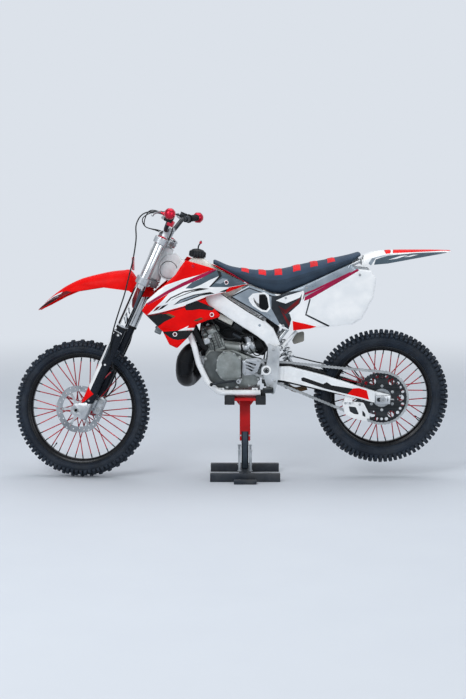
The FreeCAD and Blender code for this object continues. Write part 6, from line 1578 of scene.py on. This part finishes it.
def makeCases():
    shape = Shape()
    shape.plate(caseLine, -50, 50, "castAlloy", edge=4)
    shape.plate(caseFront, -70, -50, "darkCast", edge=4)
    shape.plate(caseLine, 49, 70, "castAlloy", edge=4)
    for y in (-71.5, 0):
        seam = inset(rounded(caseFront if y else caseLine), 0.5)
        shape.tube([(x, y * 0.98, z) for x, z in seam + [seam[0]]], 2.2, "darkCast", 6, 1)
    for y, spots in ((-69, ((-196, 604), (-192, 500), (-150, 462), (-90, 461), (-40, 462), (-22, 500), (-26, 612))),
                     (-49, ((66, 578), (66, 500), (20, 466), (8, 606)))):
        for x, z in spots:
            shape.turned([(0, 8.5), (3, 8), (4, 6.5), (4, 0)], "castAlloy", (x, y, z), -1, 16)
            shape.bolt((x, y - 3.5, z), -1, 3.4)
    for k in range(4):
        shape.box((-110 + k * 34, 0, 453), (6, 96, 8), "castAlloy", 2)
    front = sprocketLine(13, 32.9, 4.0, 5.2)
    shape.plate([(40 + x, 568 + z) for x, z in front], -68.6, -63.4, "darkSteel",
                [circle(40 + 19 * cos(a), 568 + 19 * sin(a), 4.5, 10) for a in (0.5, 1.55, 2.6, 3.65, 4.7, 5.75)],
                edge=0.4, rounds=1)
    shape.rod((40, -71.5, 568), (40, -50, 568), 10, "boltSteel", 20)
    shape.box((-196, 0, 556), (22, 84, 34), "castAlloy", 5)
    for side in (-1, 1):
        mount = [(-226, 600, 6), (-196, 606, 8), (-184, 560, 8), (-206, 534, 8), (-234, 560, 8)]
        shape.plate(mount, side * 42, side * 47, "frameSilver", [circle(-208, 568, 6, 14)], edge=1.2)
        shape.bolt((-200, side * 47, 560), side, 4.5)
    shape.make("engine_cases", "engine_metal")


def makeCovers():
    shape = Shape()
    line = rounded(ignitionLine)
    shape.plate(line, -84, -70, "castAlloy", edge=3)
    shape.plate(inset(line, 7), -92, -82, "castAlloy", edge=5, rounds=3)
    for x, z in ((-134, 598), (-104, 637), (-56, 630), (-28, 606), (-28, 518), (-64, 499), (-116, 514), (-139, 548)):
        shape.turned([(0, 7), (8, 7), (9, 5.5), (9, 0)], "castAlloy", (x, -76, z), -1, 16)
        shape.bolt((x, -84.6, z), -1, 3.0)
    holes = [[(2, 590, 3), (10, 594, 3), (54, 580, 3), (54, 573, 3), (46, 572, 3)],
             [(0, 576, 3), (7, 579, 3), (46, 565, 3), (46, 558, 3), (38, 558, 3)],
             [(2, 561, 3), (9, 564, 3), (38, 551, 3), (37, 544, 3), (30, 545, 3)]]
    shape.plate(sprocketCover, -91.5, -80.5, "clampAlloy", holes, edge=2.5)
    rim = inset(rounded(sprocketCover), 4)
    shape.tube([(x, -91.5, z) for x, z in rim + [rim[0]]], 1.8, "clampAlloy", 8, 1)
    for x, z in ((0, 536), (64, 598), (4, 598)):
        shape.bolt((x, -91.5, z), -1, 4)
    for z in (547, 593):
        shape.rod((-8, -90, z), (-8, -50, z), 6, "clampAlloy", 16)
    shape.plate(clutchLine, 70, 82, "castAlloy", edge=3)
    shape.turned([(0, 66), (8, 65), (13, 58), (14, 52), (14, 0)], "castAlloy", (-40, 81.9, 560), 1, 56)
    shape.turned([(0, 26), (6, 25), (7, 22), (7, 0)], "castAlloy", (-40, 88.9, 560), 1, 32)
    shape.turned([(0, 22), (14, 22), (17, 18), (17, 0)], "castAlloy", (-122, 70, 520), 1, 32)
    for k in range(8):
        spot = around(k * 45 + 10, 62)
        shape.bolt((-40 + spot.x, 86, 560 + spot.z), 1, 3.4)
    shape.make("engine_covers", "cover_metal")


barrelPlace = Matrix.Translation((-137, 0, 636)) @ spin(-20, "Y")


def makeCylinder():
    shape = Shape(barrelPlace)
    for low, high, x, y, look, cut in ((2, 14, 46, 46, "castAlloy", 3), (12, 100, 40, 42, "castAlloy", 8),
                                       (96, 108, 46, 45, "castAlloy", 4)):
        outline = rounded([(-x, -y, 16), (x, -y, 16), (x, y, 16), (-x, y, 16)], steps=5)
        shape.plate(outline, low, high, look, edge=cut, at=flatways)
    for side in (-1, 1):
        for x in (-22, 20):
            shape.turned([(0, 9), (80, 9), (84, 6)], "darkCast", (x, side * 38, 14), (0, 0, 1), 16)
        for level in range(5):
            shape.box((2, side * 40, 30 + level * 14), (66, 9, 3.2), "darkCast", 1)
    for x, y in ((-36, -34), (-36, 34), (34, -34), (34, 34)):
        shape.bolt((x, y, 13), (0, 0, 1), 5, "boltSteel")
    shape.turned([(0, 45), (8, 45), (13, 42), (20, 34), (25, 26), (26, 18), (26, 0)], "castAlloy", (0, 0, 108),
                 sides=44)
    for k in range(6):
        spot = spin(60 * k + 30, "Z") @ Vector((38, 0, 0))
        shape.turned([(0, 7), (8, 7), (9, 6)], "castAlloy", (spot.x, spot.y, 108), sides=14)
        shape.bolt((spot.x, spot.y, 117), (0, 0, 1), 4)
    shape.turned([(0, 9), (3, 10.4), (9, 10.4), (10, 6), (14, 5.2), (26, 5.2), (26, 0)], "boltSteel", (0, 0, 133),
                 sides=6)
    shape.turned([(0, 8), (3, 9), (24, 8), (27, 5), (27, 0)], "softRubber", (0, 0, 146), sides=20)
    shape.box((-30, -46, 70), (34, 20, 36), "castAlloy", 6)
    shape.box((-30, -57, 70), (28, 5, 28), "clampAlloy", 4)
    for x, z in ((-40, 60), (-20, 60), (-40, 80), (-20, 80)):
        shape.bolt((x, -59, z), -1, 2.6)
    shape.turned([(0, 7), (20, 7), (21, 9), (24, 9), (24, 0)], "boltSteel", (-8, -44, 88), -1, 18)
    shape.turned([(0, 30), (5, 30), (6, 28), (6, 24), (15.8, 23), (15.8, 18)], "castAlloy", (-44, 0, 60), (-1, 0, 0),
                 36)
    shape.box((28, 0, 36), (40, 62, 44), "castAlloy", 8)
    shape.turned([(0, 12), (14, 11), (15, 13), (20, 13), (20, 0)], "castAlloy", (-20, -18, 122), (-0.6, -0.4, 0.7),
                 20)
    shape.place = Matrix()
    shape.rod((-122, 0, 664), (-8, 0, 650), 26, "castAlloy", 32)
    shape.rod((-22, 0, 645), (-9, 0, 648), 30, "softRubber", 32)
    for x in (-26, -10):
        shape.rod((x, 0, 650 + (x + 26) * 0.1), (x + 5, 0, 651 + (x + 26) * 0.1), 30.8, "boltSteel", 32)
    shape.make("cylinder_head", "engine_metal")


def makeCarburettor():
    shape = Shape(Matrix.Translation((28, 0, 655)) @ spin(-12, "Y"))
    shape.turned([(-38, 20), (-38, 27), (-30, 27), (-28, 24), (26, 24), (29, 27), (38, 27), (38, 20)], "clampAlloy",
                 run=(1, 0, 0), sides=36, loop=True)
    shape.box((0, 0, 8), (36, 50, 40), "clampAlloy", 6)
    shape.turned([(0, 22), (34, 21), (36, 23), (42, 23), (44, 20), (44, 0)], "clampAlloy", (0, 0, 12), sides=32)
    shape.turned([(0, 9), (3, 12), (10, 8), (14, 4)], "blackPlastic", (0, 0, 56), sides=16)
    shape.box((0, 0, -17), (38, 48, 22), "castAlloy", 5)
    shape.turned([(0, 14), (5, 13), (6, 10), (6, 0)], "boltSteel", (0, 0, -28), (0, 0, -1), 6)
    shape.turned([(0, 16), (3, 16), (4, 14), (4, 8), (8, 7), (8, 0)], "clampAlloy", (2, -25, 2), -1, 24)
    shape.turned([(0, 5), (14, 5), (15, 4), (15, 0)], "boltSteel", (-10, -25, -10), -1, 12)
    for x in (-14, 14):
        for y in (-20, 20):
            shape.bolt((x, y, -7), (0, 0, 1), 2.4)
    shape.place = Matrix()
    shape.make("carburettor", "clamp_metal")


pipeLine = [
    ((-216, 0, 671), 22), ((-231.6, 0, 657.9), 26.4), ((-267.8, 0, 637.2), 37.4), ((-295.4, 9.2, 591.9), 43.6),
    ((-302.3, 30.6, 535.3), 43.8), ((-298.9, 76.5, 491.9), 43), ((-278.2, 131.6, 482.5), 40.5),
    ((-250.6, 153, 508.9), 39.6), ((-224.7, 153, 561.7), 36.1), ((-198.9, 149.9, 614.5), 27.3),
    ((-164.4, 143.8, 656), 18.5), ((-108, 140.8, 693.7), 14), ((-60, 136, 735), 13.6),
]


def makeExhaust():
    shape = Shape()
    shape.tube([p for p, r in pipeLine], [r for p, r in pipeLine], "pipeBlack", 36, 6)
    stinger = eased([(-66, 137, 730), (-8.7, 130.9, 780.2), (181.9, 160, 853.7), (267.7, 160, 871.9)], 88, 8)
    shape.tube(stinger, 13.4, "pipeBlack", 20, 1)
    for index in (1, 3, 4, 6, 8, 9):
        spot, r = pipeLine[index]
        before, after = Vector(pipeLine[index - 1][0]), Vector(pipeLine[index + 1][0])
        run = (after - before).normalized()
        ring = [Vector(spot) + (facing((0, 0, 0), run) @ Vector((r * cos(a), r * sin(a), 0)))
                for a in [2 * pi * k / 40 for k in range(41)]]
        shape.tube(ring, 1.1, "pipeBlack", 6, 1)
    shape.collar(0, 9, 24, 26, "darkSteel", (-214, 0, 671.5), (-0.94, 0, -0.34), 32)
    for side in (-1, 1):
        coil = [(-196 - 34 * k / 60, side * (31 + 3 * cos(k * 1.2)), 684 - 16 * k / 60 + 3 * sin(k * 1.2))
                for k in range(61)]
        shape.tube(coil, 0.9, "boltSteel", 5, 1)
    shape.plate([(-250, 560, 6), (-214, 600, 6), (-208, 580, 6), (-236, 540, 6)], 104, 118, "pipeBlack", edge=1)
    shape.make("exhaust_pipe", "exhaust_metal")
    can = Shape()
    run = around(12, 1)
    start = Vector((268, 160, 872))
    can.turned([(0, 14.2), (0, 20), (10, 26), (22, 33), (26, 35.6)], "silencerAlloy", start, run, 44)
    can.turned([(24, 34), (24, 36), (34, 36), (36, 34.8), (334, 34.8), (336, 36), (348, 36), (352, 34)],
               "silencerAlloy", start, run, 44)
    can.turned([(350, 35.4), (362, 33), (374, 24), (380, 16), (380, 11), (366, 11), (366, 0)], "silencerAlloy", start,
               run, 44)
    for k in range(12):
        for along in (30, 342):
            spot = facing(start, run) @ Vector((36 * cos(k * pi / 6), 36 * sin(k * pi / 6), along))
            can.turned([(-1, 2.6), (0, 2.4), (0.6, 1.4), (0.8, 0)], "boltSteel", spot,
                       spot - (start + run * along), 8)
    clamp = start + run * 150
    can.collar(0, 24, 35, 36, "darkSteel", clamp, run, 40)
    can.box(clamp + Vector((12, -30, 34)), (26, 40, 8), "darkSteel", 2)
    can.collar(0, 120, 34.8, 35.1, "darkRedFilm", start + run * 210, run, 40)
    can.make("silencer", "exhaust_metal")


def makeRadiators():
    shape = Shape(Matrix.Translation(axisPoint) @ Matrix.Rotation(rake, 4, "Y"))
    for side in (-1, 1):
        middle = side * 101
        for z in (-384, -220):
            shape.box((125, middle, z), (34, 78, 16), "finAlloy", 5)
        for edge in (-36, 36):
            shape.box((125, middle + edge, -302), (32, 5, 150), "finAlloy", 1)
        for k in range(11):
            shape.box((125, middle - 30 + k * 6, -302), (26, 1.6, 150), "finAlloy", 0)
        for k in range(38):
            shape.box((125, middle, -374 + k * 3.9), (22, 68, 0.8), "finAlloy", 0)
        for k in range(8):
            tilt = spin(35, "Y")
            shape.box((110, middle, -372 + k * 20), (14, 74, 1.8), "blackPlastic", 0.5, tilt)
    shape.place = Matrix()
    for side in (-1, 1):
        shape.rod((-338, side * 44, 897), (-338, side * 70, 897), 8, "boltSteel", 16)
    shape.make("radiators", "engine_metal")


def makeShock():
    shape = Shape()
    top = Vector((92, 0, 772)) + around(40, 1) * 33.3
    low = Vector((236, 0, 564.3))
    run = (low - top).normalized()
    long = (low - top).length
    shape.turned([(-8, 0), (-4, 11), (14, 14), (22, 24), (30, 24), (34, 22), (90, 22), (92, 25), (98, 25), (100, 9),
                  (long, 9)], "silencerAlloy", top, run, 32)
    coil = []
    frameTurn = facing(top, run)
    for k in range(8 * 20 + 1):
        a = 2 * pi * k / 20
        coil.append(frameTurn @ Vector((26 * cos(a), 26 * sin(a), 34 + (long - 78) * k / 160)))
    shape.tube(coil, 4.0, "whitePlastic", 8, 1)
    shape.collar(0, 5, 20, 29.5, "anodRed", frameTurn @ Vector((0, 0, 30)), run, 32)
    shape.turned([(0, 12), (0, 29.5), (5, 29.5), (8, 12)], "silencerAlloy", frameTurn @ Vector((0, 0, long - 42)),
                 run, 32, loop=True)
    for spot in (top, low):
        shape.pin(spot, 16, 15.5, "clampAlloy", 28)
        shape.pin(spot, 19, 7, "boltSteel", 16)
    shape.make("shock", "clamp_metal")


def makeAirbox():
    shape = Shape()
    outline = [(70, 842, 10), (345, 842, 30), (345, 918, 20), (70, 918, 10)]
    shape.plate(outline, -52, 52, "blackPlastic", edge=6, rounds=3)
    for k in range(6):
        shape.box((100 + k * 42, 0, 880), (4, 104.6, 60), "blackPlastic", 1)
    shape.make("airbox", "black_metal")


def makeHoses():
    shape = Shape()
    boot = [(62, 0, 660), (92, -14, 676), (122, -34, 726), (140, -34, 790), (150, -26, 850)]
    shape.tube(boot, [31, 32, 33, 35, 36], "softRubber", 28, 6)
    for k in range(5):
        spot = Vector((104 + k * 7, -24 - k * 3, 694 + k * 16))
        shape.collar(0, 5, 32, 36, "softRubber", spot, (0.5, -0.2, 1), 28)
    for side in (-1, 1):
        shape.tube([(-258, side * 70, 762), (-236, side * 60, 716), (-214, side * 48, 676), (-190, side * 40, 650)],
                   14, "softRubber", 18, 6)
        shape.tube([(-300, side * 72, 900), (-236, side * 58, 860), (-190, side * 30, 810), (-176, 0, 782)], 13,
                   "softRubber", 18, 6)
    for y, r, line in ((-58, 3.2, ((-200, 850), (-150, 800), (-96, 776), (-30, 742), (28, 706), (30, 690))),
                       (-52, 3.6, ((-168, 800), (-120, 720), (-70, 700), (0, 720), (60, 706), (96, 650), (92, 590))),
                       (-64, 3.0, ((-230, 830), (-206, 760), (-160, 690), (-150, 640), (-146, 600))),
                       (-46, 4.0, ((-20, 640), (20, 610), (80, 600), (112, 560), (118, 500))),
                       (-60, 3.0, ((20, 660), (54, 620), (92, 640), (120, 700), (104, 760))),
                       (40, 4.5, ((-150, 700), (-90, 740), (-10, 720), (70, 690), (110, 640)))):
        shape.tube([(x, y, z) for x, z in line], r, "cableBlack", 10, 6)
    shape.box((-96, -30, 796), (76, 40, 26), "creamPlastic", 5, spin(26, "Y"))
    shape.box((-34, -34, 760), (48, 46, 30), "blackPlastic", 5, spin(30, "Y"))
    shape.rod((-60, -50, 726), (-20, -50, 706), 10, "darkSteel", 20)
    shield = [(-232, 690, 14), (-214, 830, 14), (-140, 850, 14), (92, 716, 20), (120, 640, 20), (92, 602, 14),
              (-10, 640, 14), (-60, 664, 14), (-160, 664, 14)]
    shape.plate(shield, 66, 70, "blackPlastic", edge=1.2)
    lead = [(-202, 0, 800), (-206, -16, 826), (-176, -34, 832), (-130, -40, 806)]
    shape.tube(lead, 3.6, "cableBlack", 10, 6)
    shape.make("engineHoses")


def makePegs():
    shape = Shape()
    for side in (-1, 1):
        start, end = 115, 198
        for x in (88, 136):
            points = []
            for k in range(10):
                y = start + 14 + k * 7.4
                points += [(y, 463 + (0 if k % 2 else 6)), (y + 2.6, 469), (y + 4.6, 463)]
            comb = [(start + 6, 456)] + [(start + 6, 463)] + points + [(end, 463), (end, 456)]
            comb = comb[:1] + [b for a, b in zip(comb, comb[1:]) if abs(b[0] - a[0]) + abs(b[1] - a[1]) > 0.4]
            turnPlate = Matrix.Translation((x, 0, 0)) @ spin(90 * side, "Z")
            shape.plate(comb, -1.6, 1.6, "darkSteel", edge=0.4, at=turnPlate, rounds=1)
        for y in (start + 34, start + 60, end - 1):
            shape.box((112, side * y, 460), (48, 3, 9), "darkSteel", 1)
        shape.box((112, side * (start + 8), 460), (50, 14, 13.6), "darkCast", 4)
        shape.rod((112, side * (start + 7), 446), (112, side * (start + 7), 475), 5, "boltSteel", 14)
        shape.box((118, side * 118, 452), (44, 8, 26), "darkCast", 3)
        coil = [(112 + 8 * cos(k * 0.7), side * (start + 7) + 8 * sin(k * 0.7), 466 + k * 0.16) for k in range(46)]
        shape.tube(coil, 1.0, "boltSteel", 5, 1)
    shape.make("footpegs", "black_metal")


def makeControls():
    shape = Shape()
    y = -115
    shape.tube(eased([(-32, y, 498), (-60, y, 500), (-120, y - 2, 492), (-164, y - 2, 484)], 40), 6, "darkSteel", 14,
               1)
    shape.collar(0, 12, 7, 11, "clampAlloy", (-32, y - 6, 498), 1, 20)
    shape.rod((-32, y - 4, 498), (-32, -70, 498), 6, "boltSteel", 16)
    shape.turned([(0, 0), (0, 6), (2, 7.6), (26, 7.6), (28, 6), (28, 0)], "softRubber", (-167, y - 30, 484), 1, 18)
    shape.bolt((-24, y - 6, 498), -1, 3)
    y = 121
    shape.tube(eased([(112, y, 494), (60, y, 492), (0, y + 1, 486), (-58, y + 2, 481)], 60), 6, "clampAlloy", 14, 1)
    shape.turned([(0, 0), (0, 9), (12, 9), (12, 0)], "clampAlloy", (112, y - 6, 494), 1, 24)
    for k in range(4):
        shape.box((-58 + (k - 1.5) * 6, y + 16, 486), (3, 26, 8), "darkSteel", 0.8)
    shape.box((-58, y + 16, 482), (26, 28, 4), "darkSteel", 1)
    shape.make("foot_controls", "clamp_metal")


def makeRearBrake():
    shape = Shape()
    x = rearAxle.x - 96
    for side in (-1, 1):
        shape.plate([(x - 20, 412, 8), (x + 20, 412, 8), (x + 20, 484, 12), (x + 6, 500, 12), (x - 20, 496, 14)],
                    66 + side * 4.6, 66 + side * 14.6, "clampAlloy", edge=3)
    shape.box((x - 14, 66, 456), (12, 29, 70), "clampAlloy", 4)
    shape.box((x + 8, 66, 493), (20, 29, 12), "clampAlloy", 4)
    for z in (438, 474):
        shape.turned([(0, 12), (2.4, 11), (2.4, 6.5), (1, 6), (1, 0)], "boltSteel", (x, 51.2, z), -1, 22)
    hose = [(x - 10, 74, 498), (x - 60, 92, 545), (390, 100, 560), (260, 104, 590), (190, 104, 600), (150, 96, 560)]
    shape.tube(hose, 3.2, "cableBlack", 8, 5)
    shape.make("rear_caliper", "hub")


def makeRearAxle():
    shape = Shape(rearWheelPlace)
    shape.collar(-118, 118, 8, 12, "boltSteel", (0, 0, 0), 1, 32)
    for side in (-1, 1):
        shape.turned([(0, 12), (0, 16.2), (3.4, 16.2), (3.4, 12)], "darkSteel", (0, side * 77.3, 0), side, 32,
                     loop=True)
        shape.turned([(0, 8), (0, 15), (1.5, 16), (9, 16), (10.5, 14.5), (10.5, 8)], "boltSteel",
                     (0, side * 114.6, 0), side, 6, loop=True)
    shape.make("rear_axle", "chrome")


def makeStand():
    shape = Shape()
    for side in (-1, 1):
        shape.box((0, side * 133, 21), (347, 34, 42), "standBlack", 3)
        for end in (-1, 1):
            shape.box((end * 172.5, side * 133, 21), (2.2, 28, 36), "blackPlastic", 1)
    shape.box((0, 0, 21), (60, 266, 41), "standBlack", 3)
    shape.box((0, -200, 11.5), (112, 24, 23), "standBlack", 3)
    shape.box((0, -200, 21.4), (104, 20, 3), "standPost", 1)
    for x in (-42, 42):
        shape.box((x, -167, 7), (14, 67, 14), "standBlack", 2)
    shape.make("stand_base", "stand_black")
    post = Shape()
    post.box((0, 0, 215), (35, 33, 345), "blackPlastic", 3)
    post.box((0, 0, 215), (24, 35, 344), "standPost", 2)
    post.make("stand_post", "stand_black")
    rods = Shape()
    for side in (-1, 1):
        for x in (-28, 28):
            rods.turned([(0, 9), (4, 9), (5, 6), (98, 6), (99, 8), (106, 8), (106, 0)], "clampAlloy",
                        (x, side * 78, 42), sides=24)
    rods.make("stand_rods", "chrome")
    sleeve = Shape()
    sleeve.box((0, 0, 316), (53, 53, 168), "standRed", 4)
    for side in (-1, 1):
        sleeve.box((side * 22, 0, 210), (9, 48, 50), "standRed", 3)
        sleeve.bolt((side * 22, -24, 212), -1, 3)
    sleeve.make("stand_sleeve", "stand_red")
    top = Shape()
    top.box((0, 0, 406), (204, 230, 12), "standRed", 2)
    for side in (-1, 1):
        gusset = [(side * 27, 364), (side * 27, 402), (side * 56, 402)]
        top.plate(gusset, -24, 24, "standRed", edge=1)
    top.make("stand_platform", "stand_red")
    pads = Shape()
    for side in (-1, 1):
        pads.box((side * 77, 0, 402.4), (50, 236, 42.8), "padRubber", 3)
        for k in range(12):
            pads.box((side * 77, -110 + k * 20, 423.6), (46, 8, 0.9), "padRubber", 0)
    pads.make("stand_pads", "black_rubber")


makeCases()
makeCovers()
makeCylinder()
makeCarburettor()
makeExhaust()
makeRadiators()
makeShock()
makeAirbox()
makeHoses()
makePegs()
makeControls()
makeRearBrake()
makeRearAxle()
makeStand()
print("engine, exhaust and stand")
